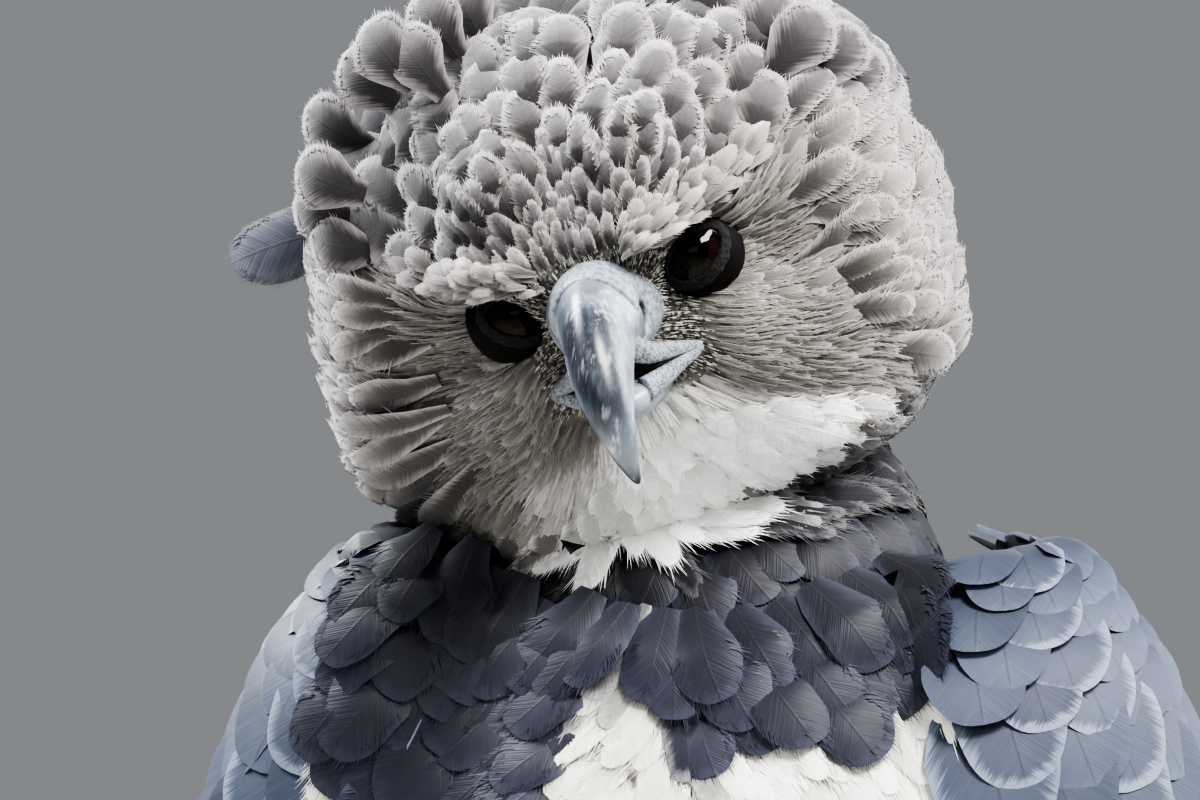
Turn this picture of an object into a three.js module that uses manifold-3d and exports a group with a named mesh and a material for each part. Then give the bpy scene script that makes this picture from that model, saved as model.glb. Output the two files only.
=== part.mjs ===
// A life-size harpy eagle: it stands on the ground with folded wings and tilts its head.
// Millimetres, +Z up. The bird faces -Y and its left side is +X.
import * as THREE from "three";
import { mergeVertices } from "three/addons/utils/BufferGeometryUtils.js";
import Module from "manifold-3d";

const wasm = await Module();
wasm.setup();

// Driving sizes, in millimetres and degrees.
const GAP = 0.3; // clearance between parts that touch
const EYE_LINE = 812; // height of the eyes above the ground
const HEAD_FORWARD = 84; // how far the eyes stand in front of the body's middle
const HEAD_ASIDE = -20;
const HEAD_ROLL = 19; // the head tilts towards the bird's right shoulder
const HEAD_TURN = 2;
const HEAD_NOD = 11;
const EYE_APART = 49;
const EYE_RADIUS = 12.5;
const CERE_END = -41; // where the horn takes over from the cere, in the head's frame
const FOOT_APART = 146;
const FOOT_BACK = 42; // the feet's middle behind the body's origin
const TOE_RADIUS = 11.5;
const TAIL_LENGTH = 400;
const TAIL_DROP = 50; // the tail's slope below the horizontal
const VANE = 0.8; // thickness of a feather's vane

const X = new THREE.Vector3(1, 0, 0);
const V = (x, y, z) => new THREE.Vector3(x, y, z);
const rad = THREE.MathUtils.degToRad;
const { clamp, lerp } = THREE.MathUtils;
const count = (n) => Array.from({ length: n }, (_, i) => i);

// Colours and finishes.
const paint = (color, roughness = 0.8) => new THREE.MeshStandardMaterial({ color, roughness, metalness: 0 });
const FINISH = {
  head: paint(0x9b989a),
  slate: paint(0x3a3d49),
  wing: paint(0x4b5364),
  barred: paint(0xb9b7b4),
  horn: paint(0x59677a, 0.35),
  cere: paint(0x7d8ea0, 0.45),
  mouth: paint(0x6d2f33, 0.5),
  eye: paint(0x17100d, 0.08),
  foot: paint(0xd9b23c, 0.6),
  claw: paint(0x1b1b1f, 0.3),
};

// A value read smoothly along evenly spaced ones, for t from 0 to 1 (Catmull-Rom).
function smooth(values) {
  const last = values.length - 1;
  const at = (i) => values[clamp(i, 0, last)];
  return (t) => {
    const i = Math.min(Math.floor(clamp(t, 0, 1) * last), last - 1);
    const f = clamp(t, 0, 1) * last - i;
    const [a, b, c, d] = [at(i - 1), at(i), at(i + 1), at(i + 2)];
    return b + 0.5 * f * (c - a + f * (2 * a - 5 * b + 4 * c - d + f * (3 * (b - c) + d - a)));
  };
}

// A closed geometry as a solid, with its faces turned outwards.
function solid(geometry) {
  const bare = new THREE.BufferGeometry().setAttribute("position", geometry.getAttribute("position"));
  if (geometry.index) bare.setIndex(geometry.index);
  const merged = mergeVertices(bare, 1e-4);
  const vertProperties = new Float32Array(merged.getAttribute("position").array);
  const triVerts = new Uint32Array(merged.index.array);
  const made = new wasm.Manifold(new wasm.Mesh({ numProp: 3, vertProperties, triVerts }));
  if (made.volume() >= 0) return made;
  for (let i = 0; i < triVerts.length; i += 3) triVerts.subarray(i, i + 2).reverse();
  return new wasm.Manifold(new wasm.Mesh({ numProp: 3, vertProperties, triVerts }));
}

const cut = (made, ...forms) => forms.reduce((rest, form) => rest.subtract(solid(form)), made);
const joined = (...forms) => wasm.Manifold.union(forms.map(solid));

// Only the largest closed surface of a solid, with no sealed hollow and no loose scrap.
function whole(made) {
  return made.decompose().reduce((a, b) => (b.volume() > a.volume() ? b : a));
}

// A solid as a named mesh.
function part(name, made, material) {
  const { vertProperties, triVerts } = whole(made).getMesh();
  const geometry = new THREE.BufferGeometry();
  geometry.setAttribute("position", new THREE.BufferAttribute(new Float32Array(vertProperties), 3));
  geometry.setIndex(new THREE.BufferAttribute(new Uint32Array(triVerts), 1));
  geometry.computeVertexNormals();
  const mesh = new THREE.Mesh(geometry, material);
  mesh.name = name;
  return mesh;
}

// The surface of a rounded form on oval rings along a path. Each station is
// [x, y, z, half width, reach on the one side, reach on the other side]; swell adds to the
// form at a place along it and an angle round it.
function shell(stations, { across = X, cap = 0.12, square = 1, swell = () => 0 } = {}) {
  const [x, y, z, half, front, back] = count(6).map((k) => smooth(stations.map((s) => s[k])));
  const centre = (t) => V(x(t), y(t), z(t));
  const blunt = (v) => Math.sign(v) * Math.abs(v) ** square;
  return (t, angle, grow = 0) => {
    const end = Math.min(1, t / cap, (1 - t) / cap);
    const full = Math.sqrt(Math.max(0, 1 - (1 - end) ** 2));
    const ahead = centre(Math.min(1, t + 0.01)).sub(centre(Math.max(0, t - 0.01))).normalize();
    const side = across.clone().addScaledVector(ahead, -across.dot(ahead)).normalize();
    const out = V().crossVectors(ahead, side);
    const reach = Math.sin(angle) > 0 ? front(t) : back(t);
    const rise = grow + swell(t, angle);
    return centre(t)
      .addScaledVector(ahead, grow * (2 * t - 1))
      .addScaledVector(side, (half(t) + rise) * full * blunt(Math.cos(angle)))
      .addScaledVector(out, (reach + rise) * full * blunt(Math.sin(angle)));
  };
}

// That form as a closed geometry, grown on all sides by `grow`.
function rounded(stations, { around = 24, along = 16, grow = 0, ...bend } = {}) {
  const place = shell(stations, bend);
  const geometry = new THREE.SphereGeometry(1, around, along);
  const position = geometry.getAttribute("position");
  for (const i of count(position.count)) {
    const t = Math.acos(clamp(position.getY(i), -1, 1)) / Math.PI;
    const at = place(t, Math.atan2(position.getZ(i), position.getX(i)), grow);
    position.setXYZ(i, at.x, at.y, at.z);
  }
  return geometry;
}

const ball = (at, radius, around = 14, along = 9) =>
  new THREE.SphereGeometry(radius, around, along).translate(at.x, at.y, at.z);
const box = (x, y, z, wide, deep, high) => new THREE.BoxGeometry(wide, deep, high).translate(x, y, z);

// A closed slab between two faces, each a grid of points read from place(row, column, face).
function slab(rows, columns, place) {
  const points = [];
  for (const face of [0, 1])
    for (const i of count(rows + 1)) for (const j of count(columns + 1)) points.push(place(i / rows, j / columns, face));
  const at = (i, j, face) => (face * (rows + 1) + i) * (columns + 1) + j;
  const index = [];
  const quad = (a, b, c, d) => index.push(a, b, c, a, c, d);
  for (const i of count(rows)) {
    for (const j of count(columns)) {
      quad(at(i, j, 1), at(i + 1, j, 1), at(i + 1, j + 1, 1), at(i, j + 1, 1));
      const [a, b, c, d] = [at(i, j, 0), at(i + 1, j, 0), at(i + 1, j + 1, 0), at(i, j + 1, 0)];
      index.push(a, c, b, a, d, c);
    }
    quad(at(i, 0, 0), at(i + 1, 0, 0), at(i + 1, 0, 1), at(i, 0, 1));
    quad(at(i + 1, columns, 0), at(i, columns, 0), at(i, columns, 1), at(i + 1, columns, 1));
  }
  for (const j of count(columns)) {
    quad(at(0, j + 1, 0), at(0, j, 0), at(0, j, 1), at(0, j + 1, 1));
    quad(at(rows, j, 0), at(rows, j + 1, 0), at(rows, j + 1, 1), at(rows, j, 1));
  }
  return new THREE.BufferGeometry().setFromPoints(points).setIndex(index);
}

// Outlines of a vane: how far along it each row lies, and how wide it is there.
const LONG = [[0, 0.2], [0.14, 0.75], [0.6, 1], [0.89, 0.78], [1, 0.26]];
const SHORT = [[0, 0.2], [0.25, 0.85], [0.8, 0.9], [1, 0.3]];
const TIP = [[0, 0.5], [0.5, 0.95], [0.87, 0.8], [1, 0.26]];
// How high a vane stands at its root, where it comes out of the flesh, and at its tip.
const emerge = ([root, out, tip], along) => (along < 0.2 ? lerp(root, out, along / 0.14) : lerp(out, tip, along));

// A feather's vane. place(along, across, rise) gives its points, across runs from -1 to 1.
function vane(outline, place, columns = 1) {
  const rows = outline.length - 1;
  return slab(rows, columns, (row, column, face) => {
    const [along, wide] = outline[Math.round(row * rows)];
    const across = (2 * column - 1) * wide;
    const pointed = row === 1 && column === 0.5 ? 0.035 : 0;
    return place(along + pointed, across, face * VANE);
  });
}

// A free feather that leaves root, bows over bend and ends at tip, with its upper side to `face`.
function plume({ root, bend, tip, wide, face, cup = 0, outline = SHORT, columns = 1 }) {
  const curve = new THREE.QuadraticBezierCurve3(root, bend, tip);
  return vane(outline, (along, across, rise) => {
    const way = curve.getTangent(Math.min(1, along));
    const side = V().crossVectors(way, face).normalize();
    const up = V().crossVectors(side, way);
    const at = curve.getPoint(along);
    return at.addScaledVector(side, (across * wide) / 2).addScaledVector(up, rise - cup * across * across);
  }, columns);
}

// The body, from inside the neck down to the root of the tail.
const BODY = [
  [0, -48, 730, 30, 24, 26],
  [0, -46, 704, 76, 56, 60],
  [0, -34, 662, 101, 95, 76],
  [0, -8, 606, 112, 110, 84],
  [0, 24, 540, 114, 108, 84],
  [0, 60, 472, 104, 94, 76],
  [0, 96, 408, 78, 70, 58],
  [0, 124, 360, 46, 40, 36],
  [0, 146, 330, 22, 20, 20],
];
const torsoForm = (grow = 0) => rounded(BODY, { around: 20, along: 12, cap: 0.1, grow });

// The neck joins the back of the head to the body.
const NECK = [
  [-14, -18, 802, 36, 24, 32],
  [-10, -22, 774, 50, 34, 42],
  [-4, -30, 742, 62, 42, 52],
  [0, -38, 706, 74, 54, 60],
  [0, -38, 676, 78, 62, 56],
];
const neckForm = (grow = 0) => rounded(NECK, { around: 18, along: 5, cap: 0.2, grow });

// The head, in its own frame: the origin lies between the eyes, -Y is forward.
const FACE = [
  [0, -40, -8, 12, 12, 12],
  [0, -31, -7, 22, 26, 24],
  [0, -18, -5, 39, 45, 43],
  [0, 0, -3, 58, 62, 58],
  [0, 20, -1, 71, 68, 66],
  [0, 42, 0, 76, 69, 67],
  [0, 64, 0, 74, 66, 64],
  [0, 86, 0, 60, 54, 52],
  [0, 106, 0, 34, 32, 30],
];
// The ruff bulges at the two lower corners of the face, most on the side that the head tilts away from.
const bulge = (angle, middle, reach) => Math.exp((2 * Math.cos(angle - rad(middle)) - 2) / rad(reach) ** 2);
const jowl = (t, angle) => {
  const low = 14 * bulge(angle, 50, 24) + 4 * bulge(angle, 138, 22);
  return low * Math.exp(-(((t - 0.55) / 0.26) ** 2));
};
const faceBend = { cap: 0.1, square: 0.9, swell: jowl };
const faceForm = (grow = 0) => rounded(FACE, { around: 20, along: 12, grow, ...faceBend });
const faceAt = shell(FACE, faceBend);

const pose = new THREE.Matrix4().compose(
  V(HEAD_ASIDE, -HEAD_FORWARD, EYE_LINE),
  new THREE.Quaternion().setFromEuler(new THREE.Euler(rad(HEAD_NOD), -rad(HEAD_ROLL), rad(HEAD_TURN), "ZXY")),
  V(1, 1, 1),
);

// The ruff: tiers of feathers round the face, from one side of the crown under the chin to the other.
// from and to are places along the head, lift is how far each end stands off it.
const RUFF = [
  { feathers: 15, spread: 124, wide: 30, from: 0.5, to: 0.71, lift: [-4, 2.5, 9] },
  { feathers: 12, spread: 104, wide: 28, from: 0.385, to: 0.56, lift: [-4, 2, 6] },
  { feathers: 7, spread: 66, wide: 23, from: 0.25, to: 0.42, lift: [-3, 1.5, 8] },
];
function ruff() {
  return RUFF.flatMap(({ feathers, spread, wide, from, to, lift }) =>
    count(feathers).map((i) => {
      const turn = lerp(-spread, spread, i / (feathers - 1));
      const lean = Math.abs(turn) < 1 ? 0 : 1.6 * Math.sign(turn);
      return vane(SHORT, (along, across, rise) => {
        const angle = rad(90 + turn) + (across * wide) / 2 / 76;
        const stand = emerge(lift, along) - (lean ? lean * across : 1.2 * across ** 2);
        return faceAt(lerp(from, to, along), angle, stand + rise);
      });
    }),
  );
}
// The room that the head and its ruff take, kept clear by the neck, body and wings.
function headRoom() {
  const ruffRoom = [
    [0, -22, -4, 56, 62, 52],
    [0, -2, -3, 74, 80, 70],
    [0, 22, -2, 88, 87, 80],
    [0, 46, 0, 92, 88, 82],
    [0, 82, 0, 90, 86, 80],
  ];
  const forms = [faceForm(GAP), rounded(ruffRoom, { around: 20, along: 8, ...faceBend })];
  return forms.map((form) => form.applyMatrix4(pose));
}

// The crest: two fans of long feathers, each on a low pad at the back of the crown.
const CREST = { feathers: 6, wide: 28, step: 1.4 };
function crest(side) {
  const pad = rounded(
    [
      [side * 8, 58, 60, 14, 6, 8],
      [side * 24, 60, 59, 17, 7, 8],
      [side * 42, 60, 50, 17, 7, 8],
      [side * 58, 56, 36, 14, 6, 8],
    ],
    { around: 8, along: 5, across: V(0, 1, 0), cap: 0.3 },
  );
  const plumes = count(CREST.feathers).map((i) => {
    const f = i / (CREST.feathers - 1);
    const face = V(side * lerp(0.1, 0.95, f), 0.15, lerp(1, 0.45, f)).normalize();
    const root = V(side * lerp(13, 55, f), 54, lerp(63, 37, f ** 1.4));
    const tip = V(side * lerp(20, 72, f), lerp(132, 112, f), lerp(70, 16, f ** 1.3));
    const bend = root.clone().lerp(tip, 0.5).addScaledVector(face, 12);
    for (const p of [root, bend, tip]) p.addScaledVector(face, 4.5 - CREST.step * i);
    return plume({ root, bend, tip, wide: CREST.wide, face, cup: 2.5, outline: TIP, columns: 2 });
  });
  return cut(joined(pad, ...plumes), faceForm(GAP));
}

// The beak: a hooked upper half with a cere at its root, and a shorter lower half round the tongue.
const BILL = [
  [0, -16, -5, 14, 16, 14],
  [0, -27, -4, 12.8, 16.5, 14.5],
  [0, -37, -4.5, 10.8, 16, 14],
  [0, -47, -7.5, 9.4, 15, 12.5],
  [0, -56.5, -13.5, 8.4, 11.5, 9.5],
  [0, -63, -21.5, 6.4, 8, 7.4],
  [0, -65, -29.5, 4, 4.6, 4.6],
  [0, -63.6, -35.5, 2.2, 2.4, 2.4],
  [0, -61.6, -39.5, 1, 1, 1],
];
const billForm = (grow = 0) => rounded(BILL, { around: 14, along: 16, cap: 0.06, grow });
const CHIN = [
  [0, -12, -22, 14, 3.5, 8],
  [0, -24, -23, 12.6, 4, 8],
  [0, -36, -23.6, 9.6, 4, 7],
  [0, -46, -24, 6.4, 3.5, 5],
  [0, -53, -23.4, 3, 2.2, 2.6],
];
const chinForm = (grow = 0) => rounded(CHIN, { around: 14, along: 9, cap: 0.1, grow });
const TONGUE = [
  [0, -18, -20.6, 5, 1.8, 2],
  [0, -30, -21.4, 5.4, 1.8, 2],
  [0, -42, -22, 3.6, 1.6, 1.8],
];
const tongueForm = (grow = 0) => rounded(TONGUE, { around: 10, along: 6, cap: 0.3, grow });
const nostrils = () =>
  [-1, 1].map((side) => {
    const hole = new THREE.SphereGeometry(1, 10, 8).scale(2.2, 1.7, 4.2).rotateX(rad(-24));
    return hole.translate(side * 11.4, -35.5, -1);
  });

const eyeAt = (side) => V((side * EYE_APART) / 2, -13, 0);
// The ridge over each eye, from the root of the beak to the temple.
const brow = (side) =>
  rounded(
    [
      [side * 9, -33, -2, 4, 3, 3],
      [side * 17, -32.5, 5.5, 5, 4, 5],
      [side * 27, -28, 9.5, 6, 5, 6],
      [side * 38, -16, 8.5, 6, 5, 7],
      [side * 47, -4, 4.5, 5, 4, 6],
    ],
    { around: 8, along: 6, across: V(0, -1, 0), cap: 0.25 },
  );
// The almond between the lids, slanted down to the beak.
const almond = (side) => {
  const look = new THREE.SphereGeometry(1, 14, 6).scale(10.6, 14, 8.8);
  look.rotateY(-side * rad(12)).rotateZ(side * rad(24));
  return look.translate(side * EYE_APART * 0.56, -22, -1);
};

function headGroup() {
  const group = new THREE.Group();
  group.applyMatrix4(pose);
  const sides = [-1, 1];
  const word = (side) => (side < 0 ? "right" : "left");
  const seam = box(0, -26, -19, 42, 44, 1.8);
  const skull = joined(faceForm(), ...ruff(), ...sides.map(brow), ...sides.map((side) => ball(eyeAt(side), EYE_RADIUS + 2)));
  const holes = [...sides.map((side) => ball(eyeAt(side), EYE_RADIUS + GAP)), ...sides.map(almond), seam];
  const beak = [billForm(GAP), chinForm(GAP), tongueForm(GAP)];
  group.add(part("head", cut(skull, ...holes, ...beak), FINISH.head));
  for (const side of sides) {
    group.add(part(`eye_${word(side)}`, solid(ball(eyeAt(side), EYE_RADIUS)), FINISH.eye));
    group.add(part(`crest_${word(side)}`, crest(side), FINISH.slate));
  }

  const bill = solid(billForm());
  const horn = bill.intersect(solid(box(0, CERE_END - GAP - 60, 0, 80, 120, 160)));
  const cere = bill.intersect(solid(box(0, CERE_END + 60, 0, 80, 120, 160)));
  group.add(part("cere", cut(cere, ...nostrils()), FINISH.cere));
  group.add(part("beak_upper", horn, FINISH.horn));
  group.add(part("beak_lower", cut(solid(chinForm()), billForm(GAP), tongueForm(GAP)), FINISH.horn));
  group.add(part("tongue", cut(solid(tongueForm()), billForm(GAP)), FINISH.mouth));
  return group;
}

// The tail's frame: it starts inside the root of the tail and slopes down and back.
const tailWay = V(0, Math.cos(rad(TAIL_DROP)), -Math.sin(rad(TAIL_DROP)));
const tailUp = V(0, Math.sin(rad(TAIL_DROP)), Math.cos(rad(TAIL_DROP)));
const tailPoint = (x, way, up) => V(x, 122, 362).addScaledVector(tailWay, way).addScaledVector(tailUp, up);
const RUMP = [
  [0, 108, 388, 32, 18, 20],
  [0, 132, 352, 36, 16, 17],
  [0, 158, 318, 34, 13, 12],
  [0, 184, 286, 29, 10, 7],
];
const rumpForm = (grow = 0) => rounded(RUMP, { around: 12, along: 6, cap: 0.3, grow });

// The tail: a closed fan of long feathers, the middle pair on top, with coverts above and below.
const FAN = { pairs: 6, wide: 56, rootStep: 4, tipStep: 7.4, layer: 1.3 };
function tail() {
  const long = count(2 * FAN.pairs).map((order) => {
    const place = (Math.floor(order / 2) + 0.5) * (order % 2 ? -1 : 1);
    return vane(TIP, (along, across, rise) => {
      const x = place * lerp(FAN.rootStep, FAN.tipStep, along) + (across * FAN.wide) / 2;
      const reach = TAIL_LENGTH - 3 * Math.abs(place);
      return tailPoint(x, lerp(26, reach, along), -FAN.layer * order - (x * x) / 600 + rise);
    });
  });
  const covert = (up) => (x, i) =>
    plume({
      root: tailPoint(x * 0.6, up > 0 ? 4 : 14, up * 6 - (up > 0 ? 0 : 8)),
      bend: tailPoint(x * 0.9, 74, up * (15 + 1.4 * i) - (up > 0 ? 0 : 14)),
      tip: tailPoint(x, 146 - 7 * i, up * (5.5 + 1.4 * i) - (up > 0 ? 0 : 16)),
      wide: 38,
      face: tailUp.clone().multiplyScalar(up),
    });
  const above = [-26, 26, -13, 13, 0].map(covert(1));
  const under = [-24, 24, -9, 9].map(covert(-1));
  return part("tail", cut(joined(rumpForm(), ...long, ...above, ...under), torsoForm(GAP)), FINISH.slate);
}

// The left wing's outer surface, from the wrist (s = 0) to the tip (s = 1), across from the leading
// edge (w = -1) over its crown to the edge on the back (w = 1).
const WING_FRONT = [
  [72, -62, 744], [74, -88, 706], [88, -90, 650], [108, -72, 580], [120, -34, 505],
  [114, 22, 430], [98, 92, 366], [76, 160, 318], [50, 222, 264],
];
const WING_CROWN = [
  [88, -52, 748], [114, -52, 712], [134, -36, 655], [146, 0, 590], [147, 44, 520],
  [126, 98, 450], [90, 146, 380], [60, 187, 321], [37, 230, 262],
];
const WING_BACK = [
  [70, -28, 750], [72, 16, 720], [60, 58, 665], [44, 92, 600], [32, 120, 530],
  [25, 146, 460], [20, 172, 392], [19, 198, 330], [20, 231, 270],
];
const guides = [WING_FRONT, WING_CROWN, WING_BACK].map((rows) => {
  const [x, y, z] = count(3).map((k) => smooth(rows.map((row) => row[k])));
  return (s) => V(x(s), y(s), z(s));
});
function wingBase(s, w) {
  const [front, crown, back] = guides.map((guide) => guide(s));
  const bend = front.clone().add(back).multiplyScalar(0.5).sub(crown);
  return crown.addScaledVector(back.sub(front), 0.5 * w).addScaledVector(bend, w * w);
}
function wingPoint(s, w, lift, side) {
  const e = 0.01;
  const down = wingBase(Math.min(1, s + e), w).sub(wingBase(Math.min(1, s + e) - 2 * e, w));
  const over = wingBase(s, w + e).sub(wingBase(s, w - e));
  const at = wingBase(s, w).addScaledVector(down.cross(over).normalize(), lift);
  return V(at.x * side, at.y, at.z);
}

// The wing's flesh: a slab under that surface, thin along its edges.
const wingDepth = smooth([16, 40, 48, 48, 44, 36, 26, 20, 16]);
const FLESH_END = 0.68;
function wingFlesh(side) {
  return slab(8, 5, (row, column, face) => {
    const s = lerp(0.01, FLESH_END, row);
    const w = 2 * column - 1;
    const rim = Math.sqrt(Math.max(0, 1 - w ** 4)) * Math.min(1, 0.35 + row * 5, 0.25 + (1 - row) * 4);
    return wingPoint(s, w, face ? 0 : -1.2 - wingDepth(s) * rim, side);
  });
}

// Tiers of wing feathers from the under ones to the top ones. root and tip give the places
// along the wing of the first and last feather, from and to their places across it; lift is
// the height of root and tip over the surface, stack what each feather rises over the last one.
const TIERS = [
  {
    feathers: 6, root: [0.5, 0.56], tip: [1, 0.94], from: [-0.84, -0.3], to: [-0.5, 0.3], wide: 26,
    lift: [-16, -15, -14], stack: 2.2, lean: 0.4, outline: TIP, columns: 2,
  },
  {
    feathers: 7, root: [0.44, 0.5], tip: [0.87, 0.92], from: [-0.72, 0.84], to: [-0.66, 0.7], wide: 34,
    lift: [-6, 3.8, 4], stack: 0.3, lean: 3.6, outline: LONG,
  },
  {
    feathers: 6, root: [0.32, 0.32], tip: [0.52, 0.6], from: [-0.78, 0.82], to: [-0.78, 0.82], wide: 41,
    lift: [-6, 4, 10], stack: 0, lean: 3.6, outline: SHORT,
  },
  {
    feathers: 6, root: [0.19, 0.19], tip: [0.35, 0.38], from: [-0.78, 0.8], to: [-0.78, 0.8], wide: 39,
    lift: [-6, 4, 9.5], stack: 0, lean: 3.6, outline: SHORT,
  },
  {
    feathers: 5, root: [0.08, 0.08], tip: [0.22, 0.23], from: [-0.74, 0.74], to: [-0.76, 0.74], wide: 40,
    lift: [-6, 4, 9.5], stack: 0, lean: 3.6, outline: SHORT,
  },
];
function wingFeathers(side, tier) {
  return count(tier.feathers).map((i) => {
    const f = i / (tier.feathers - 1);
    const [root, tip, from, to] = [tier.root, tier.tip, tier.from, tier.to].map(([a, b]) => lerp(a, b, f));
    return vane(tier.outline, (along, across, rise) => {
      const s = lerp(root, tip, along);
      const w = lerp(from, to, along);
      const scale = wingBase(s, w + 0.05).distanceTo(wingBase(s, w - 0.05)) * 10;
      const lift = emerge(tier.lift, along) + tier.stack * i - tier.lean * across;
      return wingPoint(s, w + (across * tier.wide) / 2 / scale, lift + rise, side);
    }, tier.columns);
  });
}
function wing(side) {
  const feathers = TIERS.flatMap((tier) => wingFeathers(side, tier));
  const neighbours = [torsoForm(GAP), neckForm(GAP), rumpForm(GAP), thighForm(-1, GAP), thighForm(1, GAP)];
  const made = cut(joined(wingFlesh(side), ...feathers), ...neighbours, ...headRoom());
  return part(side < 0 ? "wing_right" : "wing_left", made, FINISH.wing);
}

// One leg: a feathered thigh, a bare shank with a foot pad, and four toes with claws.
const THIGH = [
  [52, 48, 484, 44, 56, 54],
  [58, 56, 428, 54, 74, 66],
  [62, 64, 370, 52, 72, 64],
  [67, 72, 310, 48, 61, 57],
  [70, 80, 250, 41, 49, 49],
  [73, 86, 192, 33, 38, 40],
  [74, 84, 146, 24, 27, 29],
];
// Raised plates on the front of the shank: two rings high, then one low.
const plate = (i) => (i % 3 === 2 ? 0.92 : 1.06);
const SHANK = count(16).map((i) => {
  const t = i / 15;
  const [y, z, r] = [[90, 84, 72, 56, 42], [184, 146, 106, 62, 12], [14.5, 15, 13.4, 13.6, 17]].map((v) => smooth(v)(t));
  return [lerp(74, 73, t), y, z, r, (r + 1.5) * plate(i), r];
});
const SOLE = [
  [73, 14, 12, 13, 13, 12],
  [73, 32, 14, 22, 15, 14],
  [73, 50, 14, 22, 15, 14],
  [73, 68, 12, 13, 13, 11],
];
const mirrored = (rows, side) => rows.map(([x, ...rest]) => [x * side, ...rest]);
const thighForm = (side, grow = 0) => rounded(mirrored(THIGH, side), { around: 16, along: 9, cap: 0.14, grow });
const shankForm = (side, grow = 0) => rounded(mirrored(SHANK, side), { around: 8, along: 15, cap: 0.1, grow });
const soleForm = (side, grow = 0) => rounded(mirrored(SOLE, side), { around: 12, along: 5, cap: 0.25, grow });

// name, heading from straight ahead towards the outside, length, claw length, thickness
const TOES = [
  ["hallux", 172, 52, 84, 1.14],
  ["inner", -34, 66, 62, 1.06],
  ["middle", 4, 88, 56, 1],
  ["outer", 42, 72, 50, 0.94],
];
const TOE_START = 14;
const heading = (side, turn) => V(side * Math.sin(rad(turn)), -Math.cos(rad(turn)), 0);
const footAt = (side, way, reach, z) => V((side * FOOT_APART) / 2, FOOT_BACK, z).addScaledVector(way, reach);

// Pads bulge under the joints, and plates step along the top.
const toePads = smooth([1, 1.1, 0.92, 1.08, 0.9, 1.04, 0.9]);
function toeForm(side, [, turn, length, , thick], grow = 0) {
  const way = heading(side, turn);
  const radius = TOE_RADIUS * thick;
  const stations = count(11).map((i) => {
    const at = footAt(side, way, TOE_START + (i / 10) * length, 9.6 * thick);
    return [at.x, at.y, at.z, radius * toePads(i / 10), radius * toePads(i / 10), radius * plate(i)];
  });
  return rounded(stations, { around: 8, along: 10, across: V(way.y, -way.x, 0), cap: 0.14, grow });
}
function clawForm(side, [, turn, length, claw, thick]) {
  const way = heading(side, turn);
  const [start, bend] = [TOE_START + length - 6, 96];
  const radius = claw / rad(bend);
  const stations = count(7).map((i) => {
    const a = rad(-28 + (bend * i) / 6);
    const at = footAt(side, way, start + radius * (Math.sin(a) + Math.sin(rad(28))), 12.5);
    const r = (1.2 + 8.2 * (1 - i / 6) ** 0.8) * thick;
    return [at.x, at.y, at.z + radius * (Math.cos(a) - Math.cos(rad(28))), r * 0.8, r, r];
  });
  const lack = Math.max(0, 2.6 - stations[6][2]);
  stations.forEach((s, i) => (s[2] += (lack * i) / 6));
  return rounded(stations, { around: 7, along: 8, across: V(way.y, -way.x, 0), cap: 0.08 });
}

// Everything above the floor, which flattens the soles.
const ground = solid(box(0, 0, 200, 1200, 1600, 400));
function leg(side) {
  const word = side < 0 ? "right" : "left";
  const shank = cut(joined(shankForm(side), soleForm(side)), thighForm(side, GAP)).intersect(ground);
  const meshes = [
    part(`thigh_${word}`, cut(solid(thighForm(side)), torsoForm(GAP)), FINISH.barred),
    part(`shank_${word}`, shank, FINISH.foot),
  ];
  TOES.forEach((toe, i) => {
    const before = TOES.slice(0, i).map((other) => toeForm(side, other, GAP));
    const made = cut(solid(toeForm(side, toe)), soleForm(side, GAP), shankForm(side, GAP), ...before);
    meshes.push(part(`toe_${toe[0]}_${word}`, made.intersect(ground), FINISH.foot));
    meshes.push(part(`claw_${toe[0]}_${word}`, cut(solid(clawForm(side, toe)), toeForm(side, toe, GAP)), FINISH.claw));
  });
  return meshes;
}

const bird = new THREE.Group();
bird.add(part("torso", cut(solid(torsoForm()), ...headRoom()), FINISH.slate));
bird.add(part("neck", cut(solid(neckForm()), torsoForm(GAP), ...headRoom()), FINISH.slate));
bird.add(headGroup(), tail());
for (const side of [-1, 1]) bird.add(wing(side), ...leg(side));

// The origin goes to the middle of the footprint, on the ground.
bird.updateMatrixWorld(true);
const reach = new THREE.Box3().setFromObject(bird, true);
const middle = reach.getCenter(V());
bird.position.set(-middle.x, -middle.y, -reach.min.z);

export default bird;
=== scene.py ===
# A harpy eagle at life size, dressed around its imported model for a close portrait.
# Shapes are in millimetres in the bird's own frame: it faces -Y, its left side is +X, Z is up.
import math
from itertools import product

import bpy
import numpy as np
from mathutils import Matrix
from mathutils.bvhtree import BVHTree


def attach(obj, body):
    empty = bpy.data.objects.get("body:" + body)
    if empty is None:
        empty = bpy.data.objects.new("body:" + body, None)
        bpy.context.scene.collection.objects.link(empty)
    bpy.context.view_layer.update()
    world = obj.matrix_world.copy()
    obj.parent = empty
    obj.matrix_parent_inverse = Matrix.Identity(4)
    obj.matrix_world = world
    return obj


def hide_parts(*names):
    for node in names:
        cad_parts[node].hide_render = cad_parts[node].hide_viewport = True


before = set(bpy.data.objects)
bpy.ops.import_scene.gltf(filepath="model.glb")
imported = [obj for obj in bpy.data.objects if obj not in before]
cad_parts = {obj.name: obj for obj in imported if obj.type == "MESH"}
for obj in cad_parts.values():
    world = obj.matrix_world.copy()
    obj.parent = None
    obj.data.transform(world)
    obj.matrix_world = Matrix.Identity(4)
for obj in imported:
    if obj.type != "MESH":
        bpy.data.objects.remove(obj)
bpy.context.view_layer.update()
print("frame loaded:", len(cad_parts), "nodes")

# Small sums


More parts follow.
